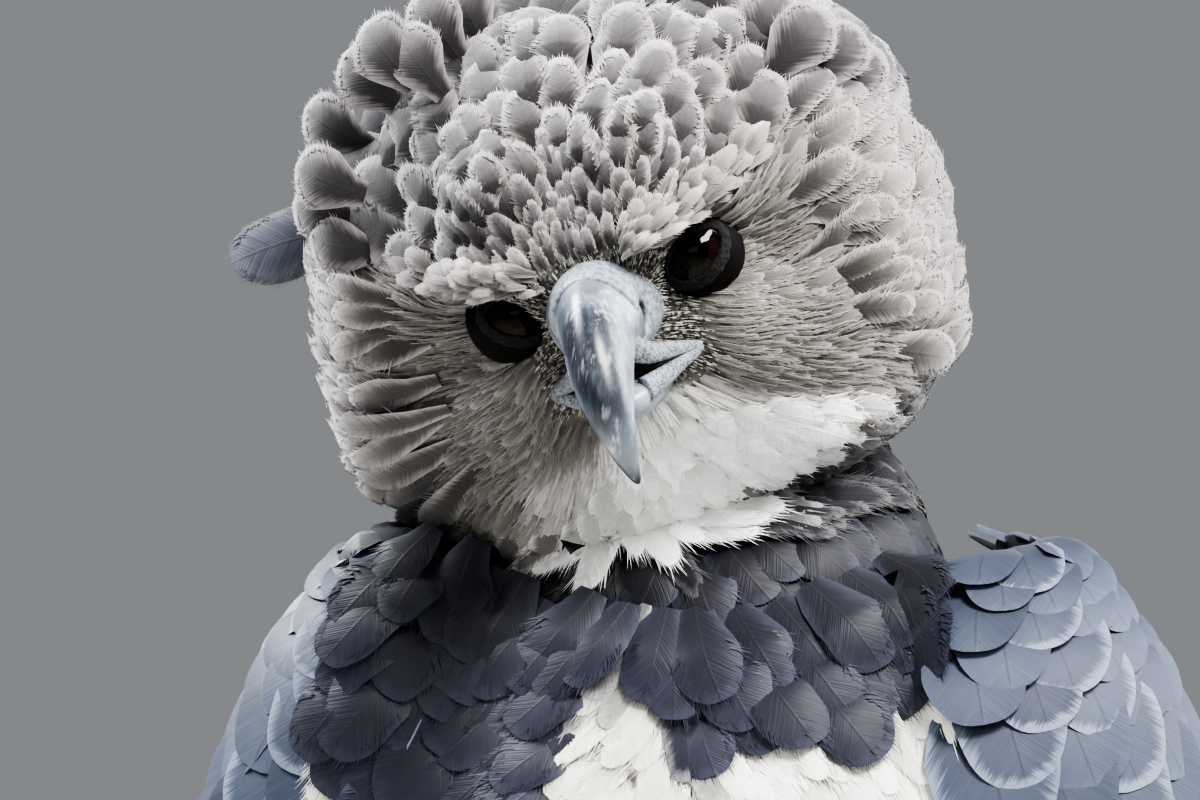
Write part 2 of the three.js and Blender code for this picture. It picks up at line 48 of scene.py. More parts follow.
def unit(v):
    return v / np.maximum(np.linalg.norm(v, axis=-1, keepdims=True), 1e-9)


def ease(low, high, value):  # 0 below low, 1 above high, smooth between
    f = np.clip((np.asarray(value, float) - low) / (high - low), 0, 1)
    return f * f * (3 - 2 * f)


def mixed(a, b, f):
    return a + (np.asarray(b) - a) * f


def hill(points, centre, radius):  # 1 at the centre, fading to 0
    d = (points - np.asarray(centre, float)) / np.asarray(radius, float)
    return np.exp(-(d * d).sum(-1))


def ripple(points, size, seed):  # slow wandering between -1 and 1
    x, y, z = np.moveaxis(points / size + seed * 1.7, -1, 0)
    waves = np.sin(x * 2.1 + 1.3 * np.sin(y * 1.7)) + np.sin(y * 1.9 + 1.1 * np.sin(z * 2.3))
    return (waves + np.sin(z * 2.2 + x)) / 3


def wander(points, size, seeds):  # a direction that wanders slowly
    return np.stack([ripple(points, size, seed) for seed in seeds], -1)


def oneEach(value, number):  # a number for each feather, from one or many
    return np.broadcast_to(np.asarray(value, float), (number,))


def smoothRows(rows):  # a smooth path through evenly spaced rows, read from 0 to 1
    rows = np.asarray(rows, float)
    last = len(rows) - 1

    def at(t):
        t = np.clip(np.asarray(t, float), 0, 1) * last
        i = np.minimum(t.astype(int), last - 1)
        f = t - i if rows.ndim == 1 else (t - i)[..., None]
        a, b = rows[np.maximum(i - 1, 0)], rows[i]
        c, d = rows[i + 1], rows[np.minimum(i + 2, last)]
        return b + 0.5 * f * (c - a + f * (2 * a - 5 * b + 4 * c - d + f * (3 * (b - c) + d - a)))

    return at


# The surface of a rounded form on oval rings along a path, as the solids have it.
# Each station is [x, y, z, half width, reach on one side, reach on the other].
def shellOf(stations, across=(1, 0, 0), cap=0.12, square=1.0, swell=None):
    path = smoothRows(stations)
    across = np.array(across, float)

    def at(t, angle, grow=0.0):
        t, angle, grow = np.broadcast_arrays(
            np.asarray(t, float), np.asarray(angle, float), np.asarray(grow, float)
        )
        row = path(t)
        end = np.minimum(1, np.minimum(t / cap, (1 - t) / cap))
        full = np.sqrt(np.maximum(0, 1 - (1 - end) ** 2))
        ahead = unit(path(np.minimum(1, t + 0.01))[..., :3] - path(np.maximum(0, t - 0.01))[..., :3])
        side = unit(across - ahead * (ahead @ across)[..., None])
        out = np.cross(ahead, side)
        wide = np.sign(np.cos(angle)) * np.abs(np.cos(angle)) ** square
        high = np.sign(np.sin(angle)) * np.abs(np.sin(angle)) ** square
        reach = np.where(np.sin(angle) > 0, row[..., 4], row[..., 5])
        rise = grow if swell is None else grow + swell(t, angle)
        return (
            row[..., :3]
            + ahead * (grow * (2 * t - 1))[..., None]
            + side * ((row[..., 3] + rise) * full * wide)[..., None]
            + out * ((reach + rise) * full * high)[..., None]
        )

    return at


# The head's pose, and the way between its frame and the bird's

headPose = {"place": (-20, -84, 812), "roll": 19, "turn": 2, "nod": 11}


def turned(axis, degrees):
    return np.array(Matrix.Rotation(math.radians(degrees), 3, axis))


headTurn = turned("Z", headPose["turn"]) @ turned("X", headPose["nod"]) @ turned("Y", -headPose["roll"])
headAt = np.array(headPose["place"], float)


def fromHead(points):
    return np.asarray(points, float) @ headTurn.T + headAt


def intoHead(points):
    return (np.asarray(points, float) - headAt) @ headTurn


sides = ((-1, "right"), (1, "left"))
eyeShape = {"apart": 49, "back": -13, "radius": 12.5}


def eyeAt(side):
    return np.array([side * eyeShape["apart"] / 2, eyeShape["back"], 0.0])


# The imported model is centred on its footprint, so its eyes say how far it was moved.
def nodeMiddle(name):
    return np.mean([v.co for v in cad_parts[name].data.vertices], axis=0)


eyeGaps = [nodeMiddle(f"eye_{word}") * 1000 - fromHead(eyeAt(side)) for side, word in sides]
modelShift = np.mean(eyeGaps, axis=0)
print("frame is shifted by", np.round(modelShift, 2))


def toFrame(points):
    return (np.asarray(points, float) + modelShift) / 1000


# Meshes from arrays


def outward(points, faces):  # turns a closed form's faces outwards
    a, b, c = (points[faces[:, k]] for k in range(3))
    volume = (a * np.cross(b, c)).sum()
    return faces if volume > 0 else faces[:, ::-1]


def placed(name, data):
    made = bpy.data.objects.new(name, data)
    bpy.context.scene.collection.objects.link(made)
    return made


def setPoints(mesh, key, value):  # a number or a vector at each point
    value = np.asarray(value, np.float32)
    kind, field = ("FLOAT", "value") if value.ndim == 1 else ("FLOAT_VECTOR", "vector")
    mesh.attributes.new(key, kind, "POINT").data.foreach_set(field, value.ravel())


def readRows(items, field, kind):
    rows = np.zeros(len(items) * 3, kind)
    items.foreach_get(field, rows)
    return rows.reshape(-1, 3)


def readMesh(mesh):  # points in millimetres, normals and triangles
    mesh.calc_loop_triangles()
    points = readRows(mesh.vertices, "co", np.float32).astype(float) * 1000 - modelShift
    normals = readRows(mesh.vertices, "normal", np.float32).astype(float)
    return points, normals, readRows(mesh.loop_triangles, "vertices", np.int32)


def meshPiece(name, points, faces, material=None, values=None, bake=None):
    mesh = bpy.data.meshes.new(name)
    faces = np.asarray(faces, np.int32)
    mesh.vertices.add(len(points))
    mesh.vertices.foreach_set("co", toFrame(points).astype(np.float32).ravel())
    mesh.loops.add(faces.size)
    mesh.loops.foreach_set("vertex_index", faces.ravel())
    mesh.polygons.add(len(faces))
    mesh.polygons.foreach_set("loop_start", np.arange(len(faces), dtype=np.int32) * faces.shape[1])
    mesh.update(calc_edges=True)
    mesh.validate()
    mesh.shade_smooth()
    for key, value in (values or {}).items():
        setPoints(mesh, key, value)
    if bake is not None:
        layer = mesh.uv_layers.new(name="OFBake")
        layer.uv.foreach_set("vector", np.asarray(bake, np.float32)[faces.ravel()].ravel())
    if material is not None:
        mesh.materials.append(material)
    return placed(name, mesh)


def dressed(piece, slot, *nodes):
    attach(piece, "root")
    if nodes:
        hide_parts(*nodes)
    return piece


def ringFaces(rings, around):  # a closed form: first end, rings, last end
    i = np.arange(rings - 1)[:, None]
    j = np.arange(around)[None, :]
    a = 1 + i * around + j
    b = 1 + i * around + (j + 1) % around
    c, d = a + around, b + around
    quads = np.stack([a, b, d, a, d, c], -1).reshape(-1, 3)
    j = np.arange(around)
    first = np.stack([np.zeros_like(j), 1 + (j + 1) % around, 1 + j], -1)
    base = 1 + (rings - 1) * around
    last = np.stack([np.full_like(j, 1 + rings * around), base + j, base + (j + 1) % around], -1)
    return np.concatenate([first, quads, last])


def fromRings(rings):  # rings (number, around, 3) closed over both ends
    number, around, _ = rings.shape
    points = np.concatenate([rings[0].mean(0)[None], rings.reshape(-1, 3), rings[-1].mean(0)[None]])
    return points, outward(points, ringFaces(number, around))


def closedForm(surface, around, along, grow=0.0, start=0.0, stop=1.0):
    k = np.linspace(0, 1, along + 1)
    k = k - 0.6 * np.sin(2 * math.pi * k) / (2 * math.pi)
    t = mixed(start, stop, k)[1:-1]
    turns = np.linspace(0, 2 * math.pi, around, endpoint=False)
    rings = surface(t[:, None], turns[None, :], grow)
    ends = surface(np.array([start, stop]), np.zeros(2), grow)
    points = np.concatenate([ends[:1], rings.reshape(-1, 3), ends[1:]])
    return points, outward(points, ringFaces(along - 1, around))


def gridFaces(rows, columns):  # quads of an open grid as triangles
    i, j = np.meshgrid(np.arange(rows - 1), np.arange(columns - 1), indexing="ij")
    a = i * columns + j
    return np.stack([a, a + columns, a + columns + 1, a, a + columns + 1, a + 1], -1).reshape(-1, 3)


def joinedForms(forms):
    points, faces, count = [], [], 0
    for p, f in forms:
        points.append(p)
        faces.append(f + count)
        count += len(p)
    return np.concatenate(points), np.concatenate(faces)


# Colours, given as they look on a screen


def tint(code):
    parts = np.array([int(code[i : i + 2], 16) / 255 for i in (0, 2, 4)])
    return np.where(parts <= 0.04045, parts / 12.92, ((parts + 0.055) / 1.055) ** 2.4)


# Materials, mixed from nodes by short words


def newMaterial(name):
    material = bpy.data.materials.new(name)
    material.use_nodes = True
    tree = material.node_tree
    return material, tree, tree.nodes["Principled BSDF"]


def plug(tree, socket, value):  # a link from another node, a colour or a plain value
    if isinstance(value, bpy.types.NodeSocket):
        tree.links.new(value, socket)
    else:
        socket.default_value = (*value, 1) if socket.type == "RGBA" else value


def node(tree, kind, links=None, **settings):
    made = tree.nodes.new(kind)
    for key, value in settings.items():
        setattr(made, key, value)
    for key, value in (links or {}).items():
        plug(tree, made.inputs[key], value)
    return made


def sums(tree, operation, a, b=0.0, clamp=False):
    return node(tree, "ShaderNodeMath", {0: a, 1: b}, operation=operation, use_clamp=clamp).outputs[0]


def times(tree, a, b, clamp=False):
    return sums(tree, "MULTIPLY", a, b, clamp)


def plus(tree, a, b):
    return sums(tree, "ADD", a, b)


def blend(tree, factor, a, b):  # from one colour to another
    return node(tree, "ShaderNodeMix", {0: factor, 6: a, 7: b}, data_type="RGBA").outputs[2]


def scaled(tree, colour, factor):
    return node(tree, "ShaderNodeVectorMath", {0: colour, 3: factor}, operation="SCALE").outputs[0]


def ramp(tree, value, low, high, toLow=0.0, toHigh=1.0):
    links = {"Value": value, "From Min": low, "From Max": high, "To Min": toLow, "To Max": toHigh}
    return node(tree, "ShaderNodeMapRange", links, interpolation_type="SMOOTHSTEP").outputs["Result"]


def noise(tree, place, scale, detail, roughness=0.5):
    links = {"Vector": place, "Scale": scale, "Detail": detail, "Roughness": roughness}
    return node(tree, "ShaderNodeTexNoise", links).outputs["Fac"]


def cells(tree, place, scale, feature="F1"):
    links = {"Vector": place, "Scale": scale}
    return node(tree, "ShaderNodeTexVoronoi", links, feature=feature).outputs["Distance"]


def apart(tree, vector):
    return node(tree, "ShaderNodeSeparateXYZ", {0: vector}).outputs


def together(tree, x, y, z=0.0):
    return node(tree, "ShaderNodeCombineXYZ", {0: x, 1: y, 2: z}).outputs[0]


def attribute(tree, name, output="Vector"):
    return node(tree, "ShaderNodeAttribute", attribute_name=name).outputs[output]


def objectPlace(tree):
    return node(tree, "ShaderNodeTexCoord").outputs["Object"]


def finish(tree, shader, settings, height=None, strength=0.0, distance=0.0):  # the shader's sockets and bump
    for label, value in settings.items():
        plug(tree, shader.inputs[label], value)
    if height is not None:
        bump = node(tree, "ShaderNodeBump", {"Height": height, "Strength": strength, "Distance": distance})
        plug(tree, shader.inputs["Normal"], bump.outputs["Normal"])


def newTree(name, kind, inputs, outputs):  # inputs are label, kind of socket and its value
    tree = bpy.data.node_groups.new(name, kind)
    for label, socketKind, *value in inputs:
        socket = tree.interface.new_socket(name=label, in_out="INPUT", socket_type="NodeSocket" + socketKind)
        if value:
            socket.default_value = value[0]
    for label, socketKind in outputs:
        tree.interface.new_socket(name=label, in_out="OUTPUT", socket_type="NodeSocket" + socketKind)
    return tree, tree.nodes.new("NodeGroupInput").outputs, tree.nodes.new("NodeGroupOutput").inputs


# The look of a vane: barbs that run out from the shaft, a pale soft rim, a dark shaft.
# The mesh carries "vane" (mm across, mm along, chance), "rim" (to the edge, along, paleness)
# and "ground" (colour).
vaneInputs = [
    ("Vane", "Vector"), ("Rim", "Vector"), ("Ground", "Color"), ("Rim Colour", "Color", (0.6, 0.58, 0.55, 1)),
    ("Barb Spacing", "Float", 0.5), ("Barb Slope", "Float", 1.1), ("Contrast", "Float", 0.3),
    ("Rim Start", "Float", 0.5), ("Shaft", "Float", 0.3), ("Root Shade", "Float", 0.4),
]
vaneOutputs = [("Colour", "Color"), ("Height", "Float")]


def barbGroup():
    g, given, put = newTree("featherVane", "ShaderNodeTree", vaneInputs, vaneOutputs)
    across, along, chance = apart(g, given["Vane"])
    edge, way, pale = apart(g, given["Rim"])
    off = sums(g, "ABSOLUTE", across)
    lane = sums(g, "SUBTRACT", along, times(g, off, given["Barb Slope"]))
    lane = sums(g, "DIVIDE", lane, given["Barb Spacing"])
    fine = noise(g, together(g, lane, times(g, chance, 91.0), times(g, off, 0.09)), 1.0, 1.5, 0.6)
    lock = together(g, times(g, lane, 0.16), times(g, chance, 37.0), times(g, off, 0.05))
    broad = noise(g, lock, 1.0, 1.0)
    swing = sums(g, "SUBTRACT", plus(g, times(g, fine, 0.6), times(g, broad, 0.4)), 0.5)
    # the ground is lighter or darker with each feather and lock of barbs, and darker towards the root: partly
    # the grey down's own colour, partly painted shade from the feather lying over it
    each = times(g, sums(g, "SUBTRACT", chance, 0.5), 0.24)
    light = plus(g, 1.0, plus(g, times(g, times(g, swing, given["Contrast"]), 3.0), each))
    root = sums(g, "SUBTRACT", 1.0, times(g, ramp(g, way, 0.35, 0.95, 1.0, 0.0), given["Root Shade"]))
    rooted = scaled(g, scaled(g, given["Ground"], light), root)
    # pale ragged rim
    rimMask = ramp(g, plus(g, edge, times(g, swing, 0.9)), given["Rim Start"], 1.15)
    rimmed = blend(g, times(g, rimMask, pale, True), rooted, given["Rim Colour"])
    # dark shaft, raised a little
    shaft = times(g, ramp(g, off, 0.18, 0.5, 1.0, 0.0), given["Shaft"])
    shaft = times(g, shaft, ramp(g, way, 0.9, 1.0, 1.0, 0.0), True)
    plug(g, put["Colour"], blend(g, shaft, rimmed, (0.03, 0.028, 0.03)))
    barbRise = plus(g, fine, times(g, broad, 0.8))
    plug(g, put["Height"], plus(g, barbRise, ramp(g, off, 0.15, 0.5, 0.35, 0.0)))
    return g


vaneGroup = barbGroup()


def featherMaterial(name, rimColour, spacing=0.5, slope=1.1, contrast=0.3, rimStart=0.5, shaft=0.3,
                    rootShade=0.35, roughness=0.75, sheen=0.25, bump=0.5, specular=0.25, bars=None):
    material, tree, shader = newMaterial(name)
    vane = node(tree, "ShaderNodeGroup", {
        "Vane": attribute(tree, "vane"), "Rim": attribute(tree, "rim"), "Ground": attribute(tree, "ground"),
        "Rim Colour": rimColour, "Barb Spacing": spacing, "Barb Slope": slope, "Contrast": contrast,
        "Rim Start": rimStart, "Shaft": shaft, "Root Shade": rootShade,
    }, node_tree=vaneGroup).outputs
    finish(tree, shader, {
        "Base Color": bars(tree, vane["Colour"]) if bars else vane["Colour"], "Roughness": roughness,
        "Specular IOR Level": specular, "Sheen Weight": sheen, "Sheen Roughness": 0.5,
    }, vane["Height"], bump, 0.0003)
    return material


# Feathers


# One feather's outline: rows from root to tip, closed below, and loose barbs along its rim.
def featherShape(tipRows, baseRows=2, shoulder=0.45, root=0.35, blunt=0.8, barbs=0, bare=0.5):
    rows = tipRows + baseRows
    turn = np.linspace(0, math.pi / 2, tipRows + 1)[1:]
    base = np.linspace(0, 1, baseRows + 1)
    along = np.concatenate([shoulder * base, shoulder + (1 - shoulder) * np.sin(turn)])
    wide = np.concatenate([mixed(root, 1, ease(0, 1, base)), np.cos(turn) ** blunt])
    wide[-1] = 0
    shaft = np.arange(rows + 1)
    left = np.append(rows + 1 + np.arange(rows), rows)
    right = np.append(2 * rows + 1 + np.arange(rows), rows)
    above, under = [], [(left[0], right[0], shaft[0])]
    for k in range(rows):
        s, l, r = shaft[k], left[k], right[k]
        nextS, nextL, nextR = shaft[k + 1], left[k + 1], right[k + 1]
        above += [(s, r, nextR), (l, s, nextS)]
        under += [(r, l, nextL)]
        if k < rows - 1:
            above += [(s, nextR, nextS), (l, nextS, nextL)]
            under += [(r, nextL, nextR)]
    strands = []
    for k in range(2 * barbs):
        a = 3 * rows + 1 + 4 * k
        strands += [(a + 1, a, a + 3), (a + 2, a + 1, a + 3), (a, a + 2, a + 3), (a + 2, a, a + 1)]
    starts = np.interp(bare, along, shaft)
    places = starts + (rows - 0.02 - starts) * (np.arange(barbs) + 0.5) / max(barbs, 1)
    return {"rows": rows, "along": along, "wide": wide, "barbs": places,
            "faces": np.array(above + under + strands, np.int32)}


# Feathers along given lines. lines and ups are (feathers, rows + 1, 3), wide is each one's width.
# Gives their points, each point's place on its feather in millimetres, and soft normals of a pillow.
def featherPoints(shape, lines, ups, wide, rng, cup=0.12, thick=0.3, lean=0.0, ragged=0.05, puff=0.4,
                  barb=1.5, barbWide=0.5, splay=52.0):
    number, rows = len(lines), shape["rows"]
    ways = unit(np.gradient(lines, axis=1))
    across = unit(np.cross(ways, ups))
    ups = np.cross(across, ways)
    wide = oneEach(wide, number)
    half = wide[:, None] / 2 * shape["wide"][None, :]
    steps = np.linalg.norm(np.diff(lines, axis=1), axis=-1)
    reach = np.concatenate([np.zeros((number, 1)), np.cumsum(steps, 1)], 1)
    lean = oneEach(lean, number)
    cup = oneEach(cup, number)[:, None]
    rise = cup * half**2 * 2 / wide[:, None]
    shafts = lines + ups * thick * np.append(np.ones(rows), 0)[None, :, None]
    nod = puff * ease(0.5, 1, shape["along"])[None, :, None]
    tilt = puff * shape["wide"][None, :] * np.ones((number, 1))
    phase = rng.uniform(0, 2 * math.pi, (2, number, 1))
    parts = [shafts]
    flats = [np.stack([np.zeros_like(reach), reach], -1)]
    soft = [unit(ups + ways * nod)]
    edges = []
    for side in (-1, 1):
        wave = np.sin(phase[0] + side + 5 * shape["along"]) + np.sin(phase[1] - side + 11 * shape["along"])
        out = half * (1 + ragged * wave)
        drop = rise + side * lean[:, None] * out
        edge = lines + across * (side * out)[..., None] - ups * drop[..., None]
        flat = np.stack([side * out, reach], -1)
        normal = unit(ups + ways * nod + across * (side * tilt + lean[:, None])[..., None])
        edges.append((side, edge, flat, normal, (rise + thick) / np.maximum(half, 0.5)))
        parts.append(edge[:, :rows])
        flats.append(flat[:, :rows])
        soft.append(normal[:, :rows])
    places = shape["barbs"]
    if not len(places):
        return np.concatenate(parts, 1), np.concatenate(flats, 1), np.concatenate(soft, 1)
    i = np.minimum(places.astype(int), rows - 1)
    f = (places - i)[None, :, None]
    read = lambda values: values[:, i] * (1 - f) + values[:, i + 1] * f
    way, beside, up = (unit(read(v)) for v in (ways, across, ups))
    tipward = ease(0.5, 1.0, np.interp(places, np.arange(rows + 1), shape["along"]))[None, :]
    for side, edge, flat, normal, slope in edges:
        clump = np.sin(phase[0] * 3 + side + places * 2.1) * 0.35
        stray = rng.normal(0, 7, (number, len(places)))
        angle = np.radians(mixed(splay, 4.0, tipward) + stray) + 0.25 * clump
        long = barb * (1 + clump) * rng.uniform(0.45, 1.35, angle.shape)
        inset = np.minimum(1.0 + 1.2 * barb, 0.3 * wide[:, None]) * rng.uniform(0.6, 1.0, angle.shape)
        thin = barbWide * rng.uniform(0.6, 1.3, angle.shape)
        sin, cos = side * np.sin(angle), np.cos(angle)
        along = way * cos[..., None] + beside * sin[..., None]
        cross = way * -sin[..., None] + beside * cos[..., None]
        rim, flatRim, normalRim = read(edge), read(flat), unit(read(normal))
        tall = inset * np.abs(sin) * read(slope[..., None])[..., 0] + 0.12
        root = rim - along * inset[..., None] + up * tall[..., None]
        tip = rim + along * long[..., None] - up * (long * rng.uniform(-0.1, 0.3, long.shape))[..., None]
        spot = flatRim - np.stack([sin, cos], -1) * inset[..., None]
        end = flatRim + np.stack([sin, cos], -1) * long[..., None]
        wideStep = cross * (thin / 2)[..., None]
        four = np.stack([root + wideStep, root - wideStep, root - up * (0.5 * thick + 0.2), tip], 2)
        parts.append(four.reshape(number, -1, 3))
        flats.append(np.stack([spot, spot, spot, end], 2).reshape(number, -1, 2))
        soft.append(np.repeat(normalRim, 4, axis=1))
    return np.concatenate(parts, 1), np.concatenate(flats, 1), np.concatenate(soft, 1)


# The values that a coat's material reads, and the bake map: a small patch for each feather.
def featherValues(shape, flats, ground, pale, chance, spots):
    number, each, _ = flats.shape
    rows, barbs = shape["rows"], len(shape["barbs"])
    tipward = ease(0.78, 1.0, shape["along"])
    edge = np.concatenate([tipward, np.ones(2 * rows), np.tile([0.75, 0.75, 0.75, 1.3], 2 * barbs)])
    middle = np.interp(shape["barbs"], np.arange(rows + 1), shape["along"])
    sideways = np.tile(shape["along"][:rows], 2)
    along = np.concatenate([shape["along"], sideways, np.tile(np.repeat(middle, 4), 2)])
    vane = np.concatenate([flats, np.broadcast_to(chance[:, None, None], (number, each, 1))], -1)
    rim = np.stack(np.broadcast_arrays(edge[None], along[None], pale[:, None]), -1)
    size = np.abs(flats).max(axis=(1, 2), keepdims=True)
    bake = spots[:, None, :] + 0.0015 * np.stack([flats[..., 0], flats[..., 1] * 2 - size[..., 0]], -1) / size
    return {
        "vane": vane.reshape(-1, 3),
        "rim": rim.reshape(-1, 3),
        "ground": np.repeat(ground, each, axis=0),
    }, bake.reshape(-1, 2)


def featherCoat(name, shape, lines, ups, wide, material, ground, pale, spots, rng, **form):
    points, flats, soft = featherPoints(shape, lines, ups, wide, rng, **form)
    pale = oneEach(pale, len(lines))
    ground = np.broadcast_to(ground, (len(lines), 3))
    values, bake = featherValues(shape, flats, ground, pale, rng.random(len(lines)), spread(spots))
    values["custom_normal"] = soft.reshape(-1, 3)
    each = points.shape[1]
    faces = (shape["faces"][None] + (np.arange(len(lines)) * each)[:, None, None]).reshape(-1, 3)
    print(f"{name}: {len(lines)} feathers, {len(faces)} triangles")
    return meshPiece(name, points.reshape(-1, 3), faces, material, values, bake)


def stacked(parts):  # rows of arrays joined column by column
    return [np.concatenate(column) for column in zip(*parts)]


def bent(root, peak, tip, along):  # lines from root to tip, drawn towards a peak
    a, b, c = (v[:, None] for v in (root, peak, tip))
    t = along[None, :, None]
    return a * (1 - t) ** 2 + 2 * b * t * (1 - t) + c * t**2


def resample(samples, along):  # samples (n, steps + 1, 3) read at the shape's rows
    steps = samples.shape[1] - 1
    place = np.clip(along, 0, 1) * steps
    i = np.minimum(place.astype(int), steps - 1)
    f = (place - i)[None, :, None]
    return samples[:, i] * (1 - f) + samples[:, i + 1] * f


# The skin as a surface to root feathers in and to lay them over

cellSteps = list(product((-1, 0, 1), repeat=3))


class Ground:
    def __init__(self, points, faces):
        self.points, self.faces = points, faces
        self.tree = BVHTree.FromPolygons(points.tolist(), faces.tolist())
        a, b, c = (points[faces[:, k]] for k in range(3))
        normal = np.cross(b - a, c - a)
        self.area = np.linalg.norm(normal, axis=1) / 2
        self.middle = (a + b + c) / 3
        smooth = np.zeros_like(points)
        for k in range(3):
            np.add.at(smooth, faces[:, k], normal)
        smooth = unit(smooth)
        self.normal = unit(smooth[faces].mean(1))

    def nearest(self, points):
        found = [self.tree.find_nearest(p) for p in points.tolist()]
        return np.array([f[0] for f in found]), self.normal[[f[2] for f in found]]

    # Random places that keep their own spacing from each other; density 0 leaves a face bare.
    def scatter(self, spacing, keep, rng, tries=7):
        wanted = np.where(keep, self.area / spacing**2, 0)
        number = int(wanted.sum() * tries)
        chosen = rng.choice(len(wanted), number, p=wanted / wanted.sum())
        u, v = rng.random((2, number, 1))
        u, v = np.where(u + v > 1, 1 - u, u), np.where(u + v > 1, 1 - v, v)
        a, b, c = (self.points[self.faces[chosen, k]] for k in range(3))
        places = a + (b - a) * u + (c - a) * v
        room = spacing[chosen]
        keys = np.floor(places / room.max()).astype(int).tolist()
        taken, kept = {}, []
        for i, (x, y, z) in enumerate(places.tolist()):
            kx, ky, kz = keys[i]
            near = room[i] ** 2
            around = (taken.get((kx + dx, ky + dy, kz + dz), ()) for dx, dy, dz in cellSteps)
            others = (spot for cell in around for spot in cell)
            if all((px - x) ** 2 + (py - y) ** 2 + (pz - z) ** 2 >= near for px, py, pz in others):
                taken.setdefault((kx, ky, kz), []).append((x, y, z))
                kept.append(i)
        return places[kept], self.normal[chosen[kept]]

    # Lines that follow the lie of the coat over the skin, rising from sunk roots to lifted tips.
    def follow(self, roots, normals, length, lie, shape, sunk, lift, steps=6, early=0.5, rise=1.2):
        here, normal = roots, normals
        places, ups = [here], [normal]
        step = (length / steps)[:, None]
        for _ in range(steps):
            way = lie(here, normal)
            way = unit(way - normal * (way * normal).sum(-1, keepdims=True))
            here, normal = self.nearest(here + way * step)
            places.append(here)
            ups.append(normal)
        lines = resample(np.stack(places, 1), shape["along"])
        ups = unit(resample(np.stack(ups, 1), shape["along"]))
        along = shape["along"][None, :]
        stand = -sunk + (lift[:, None] + sunk) * ease(0, early, along) ** 0.8 + rise * along
        return lines + ups * stand[..., None], ups


# Forms of the body, repeated from the solids

body = [
    (0, -48, 730, 30, 24, 26),
    (0, -46, 704, 76, 56, 60),
    (0, -34, 662, 101, 95, 76),
    (0, -8, 606, 112, 110, 84),
    (0, 24, 540, 114, 108, 84),
    (0, 60, 472, 104, 94, 76),
    (0, 96, 408, 78, 70, 58),
    (0, 124, 360, 46, 40, 36),
    (0, 146, 330, 22, 20, 20),
]
neck = [
    (-14, -18, 802, 36, 24, 32),
    (-10, -22, 774, 50, 34, 42),
    (-4, -30, 742, 62, 42, 52),
    (0, -38, 706, 74, 54, 60),
    (0, -38, 676, 78, 62, 56),
]
face = [
    (0, -40, -8, 12, 12, 12),
    (0, -31, -7, 22, 26, 24),
    (0, -18, -5, 39, 45, 43),
    (0, 0, -3, 58, 62, 58),
    (0, 20, -1, 71, 68, 66),
    (0, 42, 0, 76, 69, 67),
    (0, 64, 0, 74, 66, 64),
    (0, 86, 0, 60, 54, 52),
    (0, 106, 0, 34, 32, 30),
]
rump = [
    (0, 108, 388, 32, 18, 20),
    (0, 132, 352, 36, 16, 17),
    (0, 158, 318, 34, 13, 12),
    (0, 184, 286, 29, 10, 7),
]
thigh = [
    (52, 48, 484, 44, 56, 54),
    (58, 56, 428, 54, 74, 66),
    (62, 64, 370, 52, 72, 64),
    (67, 72, 310, 48, 61, 57),
    (70, 80, 250, 41, 49, 49),
    (73, 86, 192, 33, 38, 40),
    (74, 84, 146, 24, 27, 29),
]


def jowl(t, angle):  # the ruff bulges at the lower corners of the face, most on the left side
    def bulge(middle, reach):
        return np.exp((2 * np.cos(angle - math.radians(middle)) - 2) / math.radians(reach) ** 2)

    return (11 * bulge(50, 24) + 4 * bulge(138, 22)) * np.exp(-(((t - 0.55) / 0.26) ** 2))


faceAt = shellOf(face, cap=0.1, square=0.9, swell=jowl)
bodyAt = shellOf(body, cap=0.1)


def mirrored(rows, side):
    return [(row[0] * side, *row[1:]) for row in rows]


wingGuides = {
    "front": [(72, -62, 744), (74, -88, 706), (88, -90, 650), (108, -72, 580), (120, -34, 505),
              (114, 22, 430), (98, 92, 366), (76, 160, 318), (50, 222, 264)],
    "crown": [(88, -52, 748), (114, -52, 712), (134, -36, 655), (146, 0, 590), (147, 44, 520),
              (126, 98, 450), (90, 146, 380), (60, 187, 321), (37, 230, 262)],
    "back": [(70, -28, 750), (72, 16, 720), (60, 58, 665), (44, 92, 600), (32, 120, 530),
             (25, 146, 460), (20, 172, 392), (19, 198, 330), (20, 231, 270)],
}
frontAt, crownAt, backAt = (smoothRows(wingGuides[key]) for key in ("front", "crown", "back"))
wingDepth = smoothRows([16, 40, 48, 48, 44, 36, 26, 20, 16])


def wingBase(s, w):
    front, crown, back = frontAt(s), crownAt(s), backAt(s)
    w = np.asarray(w, float)[..., None]
    return crown + (back - front) * (0.5 * w) + ((front + back) / 2 - crown) * w**2


def wingFrame(s, w, side):  # place, outward normal on the left or right wing
    s, w = np.broadcast_arrays(np.asarray(s, float), np.asarray(w, float))
    top = np.minimum(1, s + 0.01)
    down = wingBase(top, w) - wingBase(top - 0.02, w)
    over = wingBase(s, w + 0.01) - wingBase(s, w - 0.01)
    mirror = np.array([side, 1, 1])
    return wingBase(s, w) * mirror, unit(np.cross(down, over)) * mirror


def wingFlesh(side, sunk=3):
    s, w = np.meshgrid(np.linspace(0.01, 0.68, 30), np.linspace(-1, 1, 16), indexing="ij")
    row = (s - 0.01) / 0.67
    rim = np.sqrt(np.maximum(0, 1 - w**4))
    rim = rim * np.minimum(1, np.minimum(0.35 + row * 5, 0.25 + (1 - row) * 4))
    place, normal = wingFrame(s, w, side)
    outer = place - normal * (sunk * np.maximum(rim, 0.1))[..., None]
    inner = place - normal * (1.2 + sunk + (wingDepth(s) - 2) * rim)[..., None]
    rings = np.concatenate([outer, inner[:, ::-1]], 1)
    return fromRings(rings)


# The skin: one closed surface under the whole coat

skinLook = {"voxel": 3.2, "face": 5.0, "neck": 9, "body": 9, "thigh": 7, "smoothing": 6}

